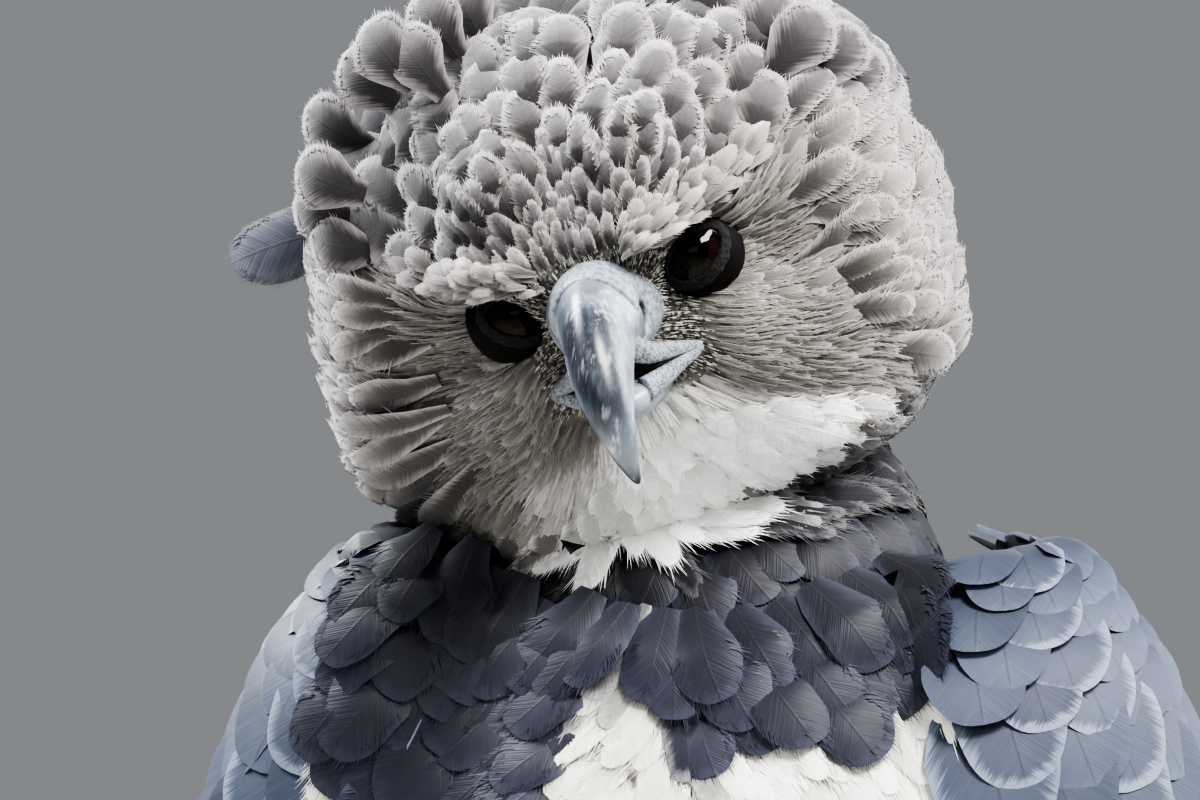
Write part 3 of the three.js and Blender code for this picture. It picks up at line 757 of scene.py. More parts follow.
# Folds and pads of the head, in its frame: place, reach, height, both sides or not.
headFolds = [
    ((22, -33, 11), (12, 11, 5.5), 6.5, True),  # brow
    ((38, -20, 15), (11, 12, 6), 6.0, True),
    ((12, -37, 7), (6, 8, 6), 2.5, True),
    ((27, -24, -2), (9, 9, 6.5), -6.5, True),  # socket
    ((43, -10, -6), (12, 14, 9), -6.0, True),  # hollow of the disc behind the eye
    ((16, -28, -9), (8, 9, 7), -3.5, True),  # lores
    ((36, -20, -30), (14, 14, 11), 6.0, True),  # cheek
    ((0, -26, -40), (18, 14, 12), 5.0, False),  # chin
    ((-27, -20, -34), (5, 12, 12), -4.5, False),
    ((62, 4, -22), (7, 14, 20), -4.5, True),  # groove inside the ruff
    ((-70, 22, -20), (22, 26, 38), 9.0, False),  # the ruff stands fuller on the right cheek
    ((-46, 10, -56), (24, 22, 18), 13.0, False),
    ((0, -22, 26), (9, 16, 16), -3.5, False),  # dip between the two halves of the forehead
    ((20, -20, 33), (13, 14, 12), 6.0, True),  # forehead
    ((48, -2, 32), (12, 14, 9), -2.5, True),
    ((30, -14, -63), (22, 16, 8), 8.0, False),  # white shelf below the face
    ((-20, -10, -62), (22, 18, 9), 10.0, False),
    ((-30, 26, 60), (13, 15, 12), 9.0, False),  # lumps of raised feathers on the crown's edge
    ((-46, 26, 56), (6, 14, 8), -4.0, False),
    ((-58, 28, 42), (11, 14, 11), 10.0, False),
    ((-66, 26, 26), (8, 14, 7), -2.0, False),
    ((-6, 20, 64), (12, 14, 11), 5.0, False),
    ((24, 20, 64), (13, 14, 11), 6.0, False),
    ((50, 24, 52), (11, 14, 11), 6.0, False),
    ((68, 28, 34), (11, 14, 12), 9.0, False),
    ((70, 20, 14), (9, 14, 8), -4.0, False),
]


def foldHead(points, normals):
    local = intoHead(points)
    rise = np.zeros(len(points))
    for place, reach, height, both in headFolds:
        for side in (1, -1) if both else (1,):
            rise += height * hill(local, np.array(place) * [side, 1, 1], reach)
    crown = ease(14, 40, local[:, 2]) * ease(-20, 0, local[:, 1])
    rise += 2.2 * ripple(local, 13, 6) * crown
    return points + normals * rise[:, None]


def faceSurface(t, angle, grow):  # the head's rings in the bird's frame
    return fromHead(faceAt(t, angle, grow))


def plainMesh(piece):  # the mesh that a piece's modifiers make; the piece itself goes
    mesh = bpy.data.meshes.new_from_object(piece.evaluated_get(bpy.context.evaluated_depsgraph_get()))
    bpy.data.objects.remove(piece)
    return mesh


def makeSkin():
    forms = [
        closedForm(faceSurface, 96, 64, -skinLook["face"]),
        closedForm(shellOf(neck, cap=0.2), 48, 20, -skinLook["neck"]),
        closedForm(bodyAt, 72, 60, -skinLook["body"]),
        closedForm(shellOf(rump, cap=0.3), 24, 16, -2),
    ]
    for side, _ in sides:
        forms.append(closedForm(shellOf(mirrored(thigh, side), cap=0.14), 40, 40, -skinLook["thigh"]))
        forms.append(wingFlesh(side))
    rough = meshPiece("skinForms", *joinedForms(forms))
    remesh = rough.modifiers.new("remesh", "REMESH")
    remesh.mode = "VOXEL"
    remesh.voxel_size = skinLook["voxel"] / 1000
    even = rough.modifiers.new("even", "SMOOTH")
    even.factor = 0.5
    even.iterations = skinLook["smoothing"]
    points, normals, faces = readMesh(plainMesh(rough))
    points = foldHead(points, normals)
    return points, outward(points, faces)


skinPoints, skinFaces = makeSkin()
skin = Ground(skinPoints, skinFaces)
print("skin:", len(skinFaces), "triangles")

# Markings and painted shade: one set of rules that skin and feathers share

headTints = {
    "crown": tint("676364"), "lump": tint("524e51"), "face": tint("6e6a66"), "cheek": tint("67635f"),
    "chin": tint("fbfaf8"), "behindEyeAndGrooveShade": tint("5e5855"), "ruff": tint("96918f"), "nape": tint("7d787c"),
    "lores": tint("55514f"), "under": tint("1d1c24"), "brow": tint("b9b3b0"), "socket": tint("3d3836"),
}


def chinTop(x):  # upper border of the white chin
    return np.interp(x, [-30, -10, 8, 14, 30, 56], [-46, -36, -29, -31, -41, -55])


def headMarksAndShade(points):  # ground colour and paleness of the rim, for places in the bird's frame
    local = intoHead(points)
    x, y, z = local[:, 0], local[:, 1], local[:, 2]
    wide = np.abs(x)
    colour = np.repeat(headTints["crown"][None], len(points), 0)

    def lay(name, mask):
        nonlocal colour
        colour = mixed(colour, headTints[name], np.clip(mask, 0, 1)[:, None])

    below = 1 - ease(4, 18, z - 0.1 * wide)
    lay("face", below)
    lay("cheek", below * ease(-14, -34, z) * (1 - ease(34, 60, wide)))
    both = np.stack([wide, y, z], -1)
    lay("behindEyeAndGrooveShade", 0.5 * hill(both, (42, -12, -6), (11, 20, 7)))
    lay("lores", 1.2 * hill(both, (17, -30, -6), (9, 16, 9)))
    # dark round each eye: partly the bare skin's own dark colour, partly painted shade in the socket under
    # the brow
    lay("socket", 1.5 * hill(both, (27, -26, -1), (10.5, 16, 8.5)))
    # painted shade in the groove beside the chin on the right side
    lay("behindEyeAndGrooveShade", 0.5 * hill(local, (-27, -22, -34), (7, 20, 14)))
    lay("ruff", ease(58, 74, wide + 0.3 * y))
    # painted shade in the groove inside the ruff, on both sides
    lay("behindEyeAndGrooveShade", 0.5 * hill(both, (61, 4, -18), (7, 30, 20)))
    lay("brow", 0.9 * hill(both, (30, -26, 15), (20, 16, 4)))
    lay("lump", 0.9 * ease(0.2, 0.75, ripple(local, 17, 3)) * ease(14, 34, z))
    lay("lump", ease(54, 66, np.hypot(x * 0.92, z)) * ease(14, 30, z) * (1 - 0.6 * ease(-20, 20, x)))
    lay("chin", 0.45 * ease(-38, -46, z) * ease(-48, -34, x) * (1 - ease(-20, 0, x)) * (1 - ease(4, 16, y)))
    lay("chin", ease(3, -4, z - chinTop(x)) * ease(-26, -8, x) * (1 - ease(50, 64, x)) * (1 - ease(4, 16, y)))
    lay("nape", ease(52, 80, y))
    # painted shade under the head: below the chin's shelf, and low behind it, the ground turns to the dark
    # "under" tint, partly the neck's own slate, and the rims lose their paleness
    shelf = np.interp(x, [-60, -46, -16, 26, 55, 75], [-58, -66, -73, -71, -60, -52])
    behind = ease(4, 12, y) * ease(-50 - 0.2 * x, -60 - 0.2 * x, z)
    dusk = np.maximum(ease(2, -3, z - shelf), behind) * (1 - ease(50, 80, y))
    lay("under", dusk)
    pale = (0.6 + 0.25 * ripple(local, 23, 5)) * (1 - 0.85 * dusk)
    return colour, np.clip(pale, 0.08, 1)


bodyTints = {
    "slate": tint("303140"), "white": tint("f2efe9"), "cream": tint("ddd8cc"), "back": tint("34363f"),
    "thigh": tint("e4e0d8"), "wing": tint("545c6e"), "wingDark": tint("414858"),
}
bodyMiddle = smoothRows(body)


def bodyMarksAndShade(points):
    x, y, z = points[:, 0], points[:, 1], points[:, 2]
    path = bodyMiddle(np.linspace(0, 1, 60))
    behind = y - np.interp(-z, -path[:, 2], path[:, 1])
    colour = np.repeat(bodyTints["white"][None], len(points), 0)
    border = [712, 704, 668, 668, 692, 708, 722, 733, 737]
    edge = np.interp(x, [-90, -76, -58, -20, -6, 8, 40, 70, 90], border)
    edge = edge + 3 * np.sin(x / 7 + 1)
    band = ease(edge - 3, edge + 3, z)
    fromStripe = np.abs(x + mixed(6, 12, ease(684, 722, z))) - mixed(3, 18, ease(728, 684, z))
    stripe = (1 - ease(-3, 3, fromStripe)) * (1 - ease(724, 732, z))
    front = 1 - ease(10, 40, behind)
    slate = np.maximum(band * (1 - stripe * front), ease(18, 44, behind))
    colour = mixed(colour, bodyTints["cream"], (0.5 * stripe)[:, None])
    colour = mixed(colour, bodyTints["slate"], slate[:, None])
    colour = mixed(colour, bodyTints["back"], (ease(20, 60, behind) * ease(690, 640, z))[:, None])
    # painted shade under the head: the colour falls to 0.45 of itself towards the neck
    colour = colour * mixed(1.0, 0.45, ease(726, 748, z))[:, None]
    return colour, np.clip(0.45 + 0.2 * ripple(points, 31, 2) - 0.2 * slate, 0.1, 1)


# Where a root lies on an unwrap of the head or body: round its length, and along it

unwraps = {"head": (-45, 110), "body": (120, 790)}


def unwrapped(beside, ahead, along, low, high):
    return np.stack([np.arctan2(beside, ahead) / (2 * math.pi) + 0.5, (along - low) / (high - low)], -1)


def headSpots(points):
    x, y, z = intoHead(points).T
    return unwrapped(x, -z, y, *unwraps["head"])


def bodySpots(points, centre=0.0):
    return unwrapped(points[:, 0] - centre, points[:, 1] - 30, points[:, 2], *unwraps["body"])


def spread(spots):  # keeps the patches inside the map
    return 0.004 + 0.992 * np.clip(spots, 0, 1)


# Skin piece


def skinMaterial():
    material, tree, shader = newMaterial("skinUnderPlumage")
    grain = noise(tree, objectPlace(tree), 420, 4)
    # the skin takes the coat's ground colour at 0.55 to 0.85 of its brightness, mottled by the grain: painted
    # shade for the gaps between feathers
    shadedSkin = scaled(tree, attribute(tree, "ground"), ramp(tree, grain, 0.3, 0.7, 0.55, 0.85))
    finish(tree, shader, {"Base Color": shadedSkin, "Roughness": 0.9}, grain, 0.4, 0.0008)
    return material


faceSkin = Ground(*closedForm(faceSurface, 64, 40, -skinLook["face"]))


def inHead(points):
    return np.linalg.norm(faceSkin.nearest(points)[0] - points, axis=1) < 7.5


isHead = inHead(skinPoints)
skinGround = np.where(isHead[:, None], headMarksAndShade(skinPoints)[0], bodyMarksAndShade(skinPoints)[0])
skinSpots = np.where(isHead[:, None], headSpots(skinPoints), bodySpots(skinPoints))
dressed(
    meshPiece("skin", skinPoints, skinFaces, skinMaterial(), {"ground": skinGround}, spread(skinSpots)),
    "body_feathers", "head", "neck", "torso", "thigh_left", "thigh_right",
)

# The lie of the head's feathers: out from the beak, and round the eyes

headCoat = {
    "beakRoot": (0, -44, -12), "eyeFront": (27, -25, -1), "eyePush": 1.3,
    "crownWide": 15.5, "faceWide": 0.9,
}
headMiddle = intoHead(skin.middle)
onHead = inHead(skin.middle)


def headLie(points, normals):
    local = intoHead(points)
    way = unit(local - np.array(headCoat["beakRoot"]))
    for side, _ in sides:
        gap = local - np.array(headCoat["eyeFront"]) * [side, 1, 1]
        way = way + unit(gap) * (headCoat["eyePush"] * hill(gap, (0, 0, 0), 15))[:, None]
    return (way + 0.16 * wander(local, 15, (1, 2, 4)) + 0.12 * wander(local, 6, (8, 9, 10))) @ headTurn.T


def clearOfEyes(points, place, reach):  # outside a rounded space at each eye
    off = [(points - np.array(place) * [side, 1, 1]) / reach for side, _ in sides]
    return (np.square(off).sum(-1) > 1).all(0)


beakStations = [
    (0, -16, -5, 14.5, 12, 13),
    (0, -27, -4.5, 14.2, 13.2, 14),
    (0, -37, -5, 12.0, 13.4, 13.5),
    (0, -47, -8, 9.0, 13.2, 12.5),
    (0, -56.5, -14, 8.2, 10.8, 9.8),
    (0, -63, -22.5, 6.4, 8, 7.6),
    (0, -65.4, -31.5, 4.2, 4.8, 4.8),
    (0, -64.4, -38.5, 2.3, 2.6, 2.6),
    (0, -62.2, -43.5, 0.8, 0.9, 0.9),
]
chinStations = [
    (0, -12, -22, 12, 3.5, 8),
    (0, -24, -23.4, 11.4, 4, 8.4),
    (0, -36, -24.4, 9.4, 4, 7.6),
    (0, -46, -25, 6.4, 3.5, 5.4),
    (0, -53, -24.4, 3, 2.2, 2.8),
]

faceX, faceY, faceZ = headMiddle.T
reachFromBeak = np.linalg.norm(headMiddle - np.array(headCoat["beakRoot"]), axis=1)
disc = (1 - ease(0, 10, faceZ - 9 * ease(26, 40, np.abs(faceX)))) * (1 - ease(16, 44, faceY))
chinMask = (faceZ < chinTop(faceX)) & (np.abs(faceX - 6) < 52) & (faceY < 30)
onLores = (np.abs(faceX) <= 20) & (faceZ <= 7) & (faceZ >= -28) & (faceY <= -15)
bare = ~clearOfEyes(headMiddle, (26, -26, 1), (9.0, 12, 6.4)) | onLores | (reachFromBeak < 13)

crownShape = featherShape(12, 2, shoulder=0.5, root=0.45, blunt=0.7, barbs=30)
browShape = featherShape(6, 1, root=0.45, barbs=9)
tuftShape = featherShape(6, 2, root=0.5, blunt=0.9, barbs=12, bare=0.35)
lockShape = featherShape(4, 2, shoulder=0.4, root=0.6, blunt=1.2, barbs=2, bare=0.6)
chinShape = featherShape(9, 2, shoulder=0.5, root=0.4, blunt=0.9, barbs=24, bare=0.35)

crownMaterial = featherMaterial(
    "crownFeathers", tint("bdb8b7"), spacing=0.9, contrast=0.28, rimStart=0.3, shaft=0.08, rootShade=0.7)
faceMaterial = featherMaterial(
    "faceFeathers", tint("9d9893"), spacing=1.2, slope=4.0, rimStart=0.2, shaft=0.0)
chinMaterial = featherMaterial(
    "chinFeathers", tint("ffffff"), spacing=0.9, contrast=0.2, rimStart=0.4, shaft=0.0)


def headPiece(name, keep, sizeAt, crowd, longer, liftAt, shape, material, seed, sunk=1.0, rise=1.0, **form):
    rng = np.random.default_rng(seed)
    roots, normals = skin.scatter(sizeAt(reachFromBeak) * crowd, keep & onHead & ~bare, rng)
    local = intoHead(roots)
    reach = np.linalg.norm(local - np.array(headCoat["beakRoot"]), axis=1)
    wide = sizeAt(reach) * rng.uniform(0.88, 1.14, len(roots))
    length = (longer[0] + longer[1] * wide) * rng.uniform(0.9, 1.12, len(roots))
    lift = liftAt(reach) + 0.1 * wide * ripple(local, 12, 7) + rng.normal(0, 0.02 * wide)
    lines, ups = skin.follow(roots, normals, length, headLie, shape, sunk, lift, rise=rise)
    coat = featherCoat(name, shape, lines, ups, wide, material, *headMarksAndShade(lines[:, shape["rows"] // 2]),
                       headSpots(roots), rng, lean=rng.normal(0, 0.08, len(roots)), **form)
    dressed(coat, "head_feathers")


def growing(start, stop, low, high):  # a size that grows with the distance from the beak
    return lambda reach: mixed(low, high, ease(start, stop, reach))


crownWide = growing(12, 78, 3.2, headCoat["crownWide"])
crownLift = growing(14, 80, 1.0, 3.6)
faceLift = growing(12, 60, 0.6, 2.4)


def headCoats():
    onCrown = (disc < 0.5) & ~chinMask
    onFace = (disc >= 0.35) & ~chinMask
    small = crownWide(reachFromBeak) < 8
    headPiece("foreheadFeathers", onCrown & small, crownWide, 0.5, (4, 1.8), crownLift, browShape,
              crownMaterial, 21, sunk=1.5, cup=0.2, barb=1.1, barbWide=0.4)
    for side, word in sides:
        half = faceX * side > 0
        headPiece(f"crownFeathers_{word}", onCrown & ~small & half, crownWide, 0.52, (6, 1.35), crownLift,
                  crownShape, crownMaterial, 22 + side, sunk=1.5, cup=0.2, thick=0.4, barb=1.7)
    headPiece("faceFeathers", onFace, growing(12, 60, 2.6, 7.0), 0.5, (8, 1.9), faceLift, tuftShape,
              faceMaterial, 25, cup=0.15, thick=0.25, barb=3.0, barbWide=0.35, splay=20)
    headPiece("faceStrands", onFace, growing(12, 50, 0.6, headCoat["faceWide"]), 2.6, (9, 6.0),
              lambda reach: faceLift(reach) + 0.6, lockShape, faceMaterial, 28, rise=0.8, cup=0.2, thick=0.15,
              barb=2.2, barbWide=0.25, splay=12)
    headPiece("chinFeathers", chinMask, growing(14, 46, 3.2, 8.5), 0.5, (9, 2.5), growing(12, 50, 1.0, 3.4),
              chinShape, chinMaterial, 26, sunk=1.5, cup=0.15, barb=3.4, barbWide=0.4, splay=26)


# Brows: rows of small pale feathers that hang out over each eye

browLook = {
    "path": [(13, -39, 7), (19, -39, 8.6), (27, -36, 10.2), (36, -28, 12.4), (45, -16, 16)],
    "rows": [(0, 0, 3.4), (1.6, 0.8, 4.0), (3.4, 2.0, 4.6)],  # height, step back and width
    "count": 15,
}
browTuft = featherShape(6, 2, shoulder=0.5, root=0.5, barbs=8)


def browCoat(side, word):
    rng = np.random.default_rng(27 + side)
    parts = []
    mirror = np.array([side, 1, 1])
    path = smoothRows(browLook["path"])
    for height, back, size in browLook["rows"]:
        f = np.linspace(0, 1, browLook["count"]) + rng.normal(0, 0.012, browLook["count"])
        way = unit(path(np.clip(f + 0.03, 0, 1)) - path(np.clip(f - 0.03, 0, 1)))
        stray = rng.normal(0, 0.5, (len(f), 3))
        root = path(f) + np.array([0, back + 3.6, height + 1.0]) - way * 2 + stray
        reach = (6 + 4 * f)[:, None] * rng.uniform(0.8, 1.2, (len(f), 1))
        tip = root + way * reach + np.array([0, 0.6, 0.2 if height == 0 else 2.4]) + 1.6 * stray
        line = bent(root, (root + tip) / 2 + np.array([0, -3.4, 0.6]), tip, browTuft["along"])
        up = unit(np.array([0.15, -1.0, 0.55]) * mirror) @ headTurn.T
        wide = size * (0.7 + 0.5 * f) * rng.uniform(0.9, 1.1, len(f))
        parts.append((fromHead(line * mirror), np.broadcast_to(up, line.shape), wide))
    lines, ups, wide = stacked(parts)
    ground = mixed(headTints["brow"], headTints["crown"], rng.uniform(0, 1, (len(wide), 1)))
    coat = featherCoat(f"browFeathers_{word}", browTuft, lines, ups, wide, faceMaterial, ground, 0.7,
                       headSpots(lines[:, 0]), rng, cup=0.2, barb=1.3, barbWide=0.35, splay=30)
    dressed(coat, "head_feathers")


headCoats()
for side, word in sides:
    browCoat(side, word)

# The ruff: tiers of broad soft feathers round the face, on the same rings as the solids'

ruffTiers = [
    # where the tier is open and how far it goes, in degrees from the chin to the right cheek,
    # number, start and stop along the head, lift and width
    ((-44, 16), (-126, 116), 84, (0.50, 0.69), 4.0, 13),
    ((-48, 20), (-124, 114), 84, (0.46, 0.64), 3.6, 12.5),
    ((-54, 26), (-120, 110), 82, (0.42, 0.59), 3.2, 12),
    ((-62, 34), (-114, 106), 82, (0.385, 0.53), 2.8, 10),
    ((-66, 40), (-108, 102), 84, (0.35, 0.475), 2.4, 8.5),
]
ruffShape = featherShape(9, 2, shoulder=0.5, root=0.4, barbs=22, bare=0.3)


def ruffCoat():
    rng = np.random.default_rng(24)
    parts = []
    along = ruffShape["along"]
    for gap, ends, count, (start, stop), high, size in ruffTiers:
        turn = np.linspace(*ends, count) + rng.normal(0, 1.8, count)
        turn = turn[(turn < gap[0]) | (turn > gap[1])]
        number = len(turn)
        lower = ease(15, 40, turn) * (1 - ease(70, 95, turn))  # fuller at the right jowl
        reach = (rng.uniform(0.85, 1.1, number) + 0.2 * lower)[:, None]
        t = start + rng.normal(0, 0.02, number)[:, None] + (stop - start) * reach * along
        full = (5 * ease(50, 85, turn) * (1 - ease(100, 116, turn)) + 10 * lower)[:, None]
        low, high = 0.5 * full - 6, high + full + rng.normal(0, 0.9, number)[:, None]
        stand = low + (high - low) * np.sin(along * math.pi / 2) ** 1.1
        angle = np.radians(90 + turn)[:, None] + np.radians(rng.normal(0, 4, number))[:, None] * along
        here = faceAt(t, angle, stand)
        up = (faceAt(t, angle, stand + 1) - here) @ headTurn.T
        parts.append((fromHead(here), up, size * rng.uniform(0.88, 1.12, number)))
    lines, ups, wide = stacked(parts)
    ground, pale = headMarksAndShade(lines[:, 2])
    coat = featherCoat("ruffFeathers", ruffShape, lines, unit(ups), wide, crownMaterial, ground, pale + 0.1,
                       headSpots(lines[:, 0]), rng, cup=0.18, thick=0.4, barb=2.4, splay=40,
                       lean=rng.normal(0, 0.05, len(wide)))
    dressed(coat, "head_feathers")


ruffCoat()

# Eyes: dark iris and pupil under a clear bulging cornea

eyeLook = {
    "bulge": 1.1, "corneaReach": 34, "pupil": 3.8, "iris": 7.2,
    "outward": -0.05, "toward": (0.174, -0.985, 0.03),
}


def gazeAxes(side):  # each eye looks at the viewer, a little outwards
    gaze = unit(np.array(eyeLook["toward"]) @ headTurn + np.array([side * eyeLook["outward"], 0, 0]))
    beside = unit(np.cross([0, 0, 1.0], gaze)) * -side  # away from the beak
    beside = beside if beside[0] * side > 0 else -beside
    above = unit(np.array([0, 0, 1.0]) - gaze * gaze[2])
    return gaze, beside, above


def eyeMaterial():
    material, tree, shader = newMaterial("eyeDarkBrown")
    iris, pupil = eyeLook["iris"], eyeLook["pupil"]
    across, up, _ = apart(tree, attribute(tree, "lens"))
    flat = {0: together(tree, across, up)}
    away = node(tree, "ShaderNodeVectorMath", flat, operation="LENGTH").outputs["Value"]
    around = sums(tree, "ARCTAN2", up, across)
    streak = noise(tree, together(tree, times(tree, around, 7.0), times(tree, away, 0.25)), 2.2, 3)
    brown = blend(tree, ramp(tree, streak, 0.3, 0.7), tint("120c09"), tint("2c1d14"))
    ringed = blend(tree, ramp(tree, away, iris - 1.2, iris), brown, tint("0c0908"))
    colour = blend(tree, ramp(tree, away, pupil - 0.3, pupil + 0.2), tint("020202"), ringed)
    dull = ramp(tree, away, iris - 0.2, iris + 1.0, 0.05, 0.7)
    finish(tree, shader, {"Base Color": colour, "Roughness": dull, "IOR": 1.36, "Specular IOR Level": 0.3})
    return material


def eyePiece(side, word, material):
    gaze, beside, above = gazeAxes(side)
    radius = eyeShape["radius"]

    def ball(t, turn):
        angle = np.asarray(t) * math.pi
        rise = eyeLook["bulge"] * (1 - ease(0, math.radians(eyeLook["corneaReach"]), angle))
        size = (radius + rise)[..., None]
        out = np.cos(turn)[..., None] * beside + np.sin(turn)[..., None] * above
        return eyeAt(side) + size * (np.cos(angle)[..., None] * gaze + np.sin(angle)[..., None] * out)

    t, turns = np.linspace(0, 1, 41)[1:-1], np.linspace(0, 2 * math.pi, 56, endpoint=False)
    rings = ball(*np.broadcast_arrays(t[:, None], turns[None, :]))
    ends = ball(np.array([0.0, 1.0]), np.zeros(2))
    points = np.concatenate([ends[:1], rings.reshape(-1, 3), ends[1:]])
    lens = (points - eyeAt(side)) @ np.stack([beside, above, gaze], 1)
    points = fromHead(points)
    piece = meshPiece(f"eyeball_{word}", points, outward(points, ringFaces(39, 56)), material, {"lens": lens})
    dressed(piece, "eye", f"eye_{word}")


eyeFinish = eyeMaterial()
for side, word in sides:
    eyePiece(side, word, eyeFinish)

# Lids: a dark wrinkled rim round each eye, lower towards the beak

lidLook = {
    "half": 7.8, "low": 6.0, "high": 4.0, "slant": 0.3,
    "section": [(0, 0.1), (0.2, 0.5), (0.6, 0.75), (1.2, 0.6), (2.2, 0.5), (3.8, 0.1), (6, -1), (7, -2.6),
                (3, -2.8), (0.3, -1.4)],  # off the opening, out from the eyeball
}


def bareSkinMaterial(name, light, dark, scale, roughness, bump):
    material, tree, shader = newMaterial(name)
    place = objectPlace(tree)
    cell = cells(tree, place, scale)
    mottle = noise(tree, place, scale * 0.35, 4)
    mask = plus(tree, times(tree, cell, 0.6), times(tree, mottle, 0.6))
    spotted = blend(tree, ramp(tree, mask, 0.3, 0.8), tint(dark), tint(light))
    # the "hollow" attribute turns the skin near black: painted shade in each nostril's dent
    colour = blend(tree, attribute(tree, "hollow", "Fac"), spotted, tint("08080a"))
    settings = {"Base Color": colour, "Roughness": roughness}
    finish(tree, shader, settings, plus(tree, cell, mottle), bump, 0.0004)
    return material


lidMaterial = bareSkinMaterial("lidSkin", "221f22", "0d0b0d", 900.0, 0.95, 0.8)


def lidPiece(side, word):
    gaze, beside, above = gazeAxes(side)
    a = np.linspace(0, 2 * math.pi, 72, endpoint=False)
    across = lidLook["half"] * np.cos(a)
    up = np.where(np.sin(a) > 0, lidLook["high"], lidLook["low"]) * np.sin(a)
    up = up + lidLook["slant"] * across
    loop = np.stack([across, up], -1)
    ahead = unit(np.roll(loop, -1, 0) - np.roll(loop, 1, 0))
    out = np.stack([ahead[:, 1], -ahead[:, 0]], -1)
    rings = []
    for off, rise in lidLook["section"]:
        wrinkle = 0.18 * np.sin(a * 17 + off * 2) * (off > 1) * (off < 6)
        flat = loop + out * off
        away = np.linalg.norm(flat, axis=1, keepdims=True)
        angle = away / eyeShape["radius"]
        toward = flat / np.maximum(away, 1e-6)
        direction = np.cos(angle) * gaze + np.sin(angle) * (toward[:, :1] * beside + toward[:, 1:] * above)
        rings.append(eyeAt(side) + direction * (eyeShape["radius"] + rise + wrinkle)[:, None])
    rings = np.stack(rings, 1)  # (around the eye, section, 3)
    number, around, _ = rings.shape
    i, j = np.meshgrid(np.arange(number), np.arange(around), indexing="ij")
    first, beyond = i * around + j, ((i + 1) % number) * around + j
    firstNext, beyondNext = i * around + (j + 1) % around, ((i + 1) % number) * around + (j + 1) % around
    faces = np.stack([first, beyond, beyondNext, first, beyondNext, firstNext], -1).reshape(-1, 3)
    points = fromHead(rings.reshape(-1, 3))
    piece = meshPiece(f"lids_{word}", points, outward(points, faces), lidMaterial)
    smoother = piece.modifiers.new("smoother", "SUBSURF")
    smoother.levels = smoother.render_levels = 1
    dressed(piece, "head_feathers")


for side, word in sides:
    lidPiece(side, word)

# Beak: a slate hook with worn streaks, the cere round its root, and the lower half

beakLook = {"cereEnd": 0.3, "lip": 0.6, "nostril": (12.6, -36, -6.8)}
billAt = shellOf(beakStations, cap=0.06)
lowerAt = shellOf(chinStations, cap=0.1)


def hornMaterial(name, light, dark, worn):
    material, tree, shader = newMaterial(name)
    place = objectPlace(tree)
    lie = {"Vector": place, "Rotation": (math.radians(35), 0, math.radians(5)), "Scale": (1, 1, 0.16)}
    streak = noise(tree, node(tree, "ShaderNodeMapping", lie).outputs[0], 520, 5, 0.6)
    cloud = noise(tree, place, 90, 3)
    base = blend(tree, ramp(tree, cloud, 0.35, 0.65), tint(dark), tint(light))
    scuff = ramp(tree, plus(tree, streak, times(tree, cloud, 0.5)), 0.78, 1.0)
    culmen, tip, _ = apart(tree, attribute(tree, "ridge"))
    dusk = times(tree, culmen, ramp(tree, streak, 0.25, 0.6, 0.6, 1.0))
    shaded = blend(tree, tip, blend(tree, dusk, base, tint("232833")), tint("2a2e38"))
    finish(tree, shader, {
        "Base Color": blend(tree, times(tree, scuff, 0.55), shaded, tint(worn)),
        "Roughness": ramp(tree, streak, 0.3, 0.8, 0.28, 0.5), "Coat Weight": 0.25, "Coat Roughness": 0.25,
    }, streak, 0.35, 0.0003)
    return material


hornFinish = hornMaterial("beakHorn", "929aa4", "666f7a", "cfd4da")
cereFinish = bareSkinMaterial("cereSkin", "929aa3", "666c74", 700.0, 0.45, 0.4)
gapeFinish = bareSkinMaterial("gapeSkin", "8a9097", "4b5058", 1300.0, 0.55, 0.5)
# the mouth lining is its own dark red, darkened further as painted shade inside the gape
mouthFinish = bareSkinMaterial("mouthLining", "3d1d1e", "160a0b", 500.0, 0.4, 0.3)


def dentNostrils(points):
    hollow = np.zeros(len(points))
    for side, _ in sides:
        near = (points - np.array(beakLook["nostril"]) * [side, 1, 1]) @ turned("X", -24)
        deep = hill(near, (0, 0, 0), (9, 3.0, 4.6))
        points = points - np.stack([side * 3.0 * deep, 0 * deep, 0 * deep], -1)
        # the nostril's dent carries "hollow", which its material paints as shade
        hollow += ease(0.4, 0.7, deep)
    return points, hollow


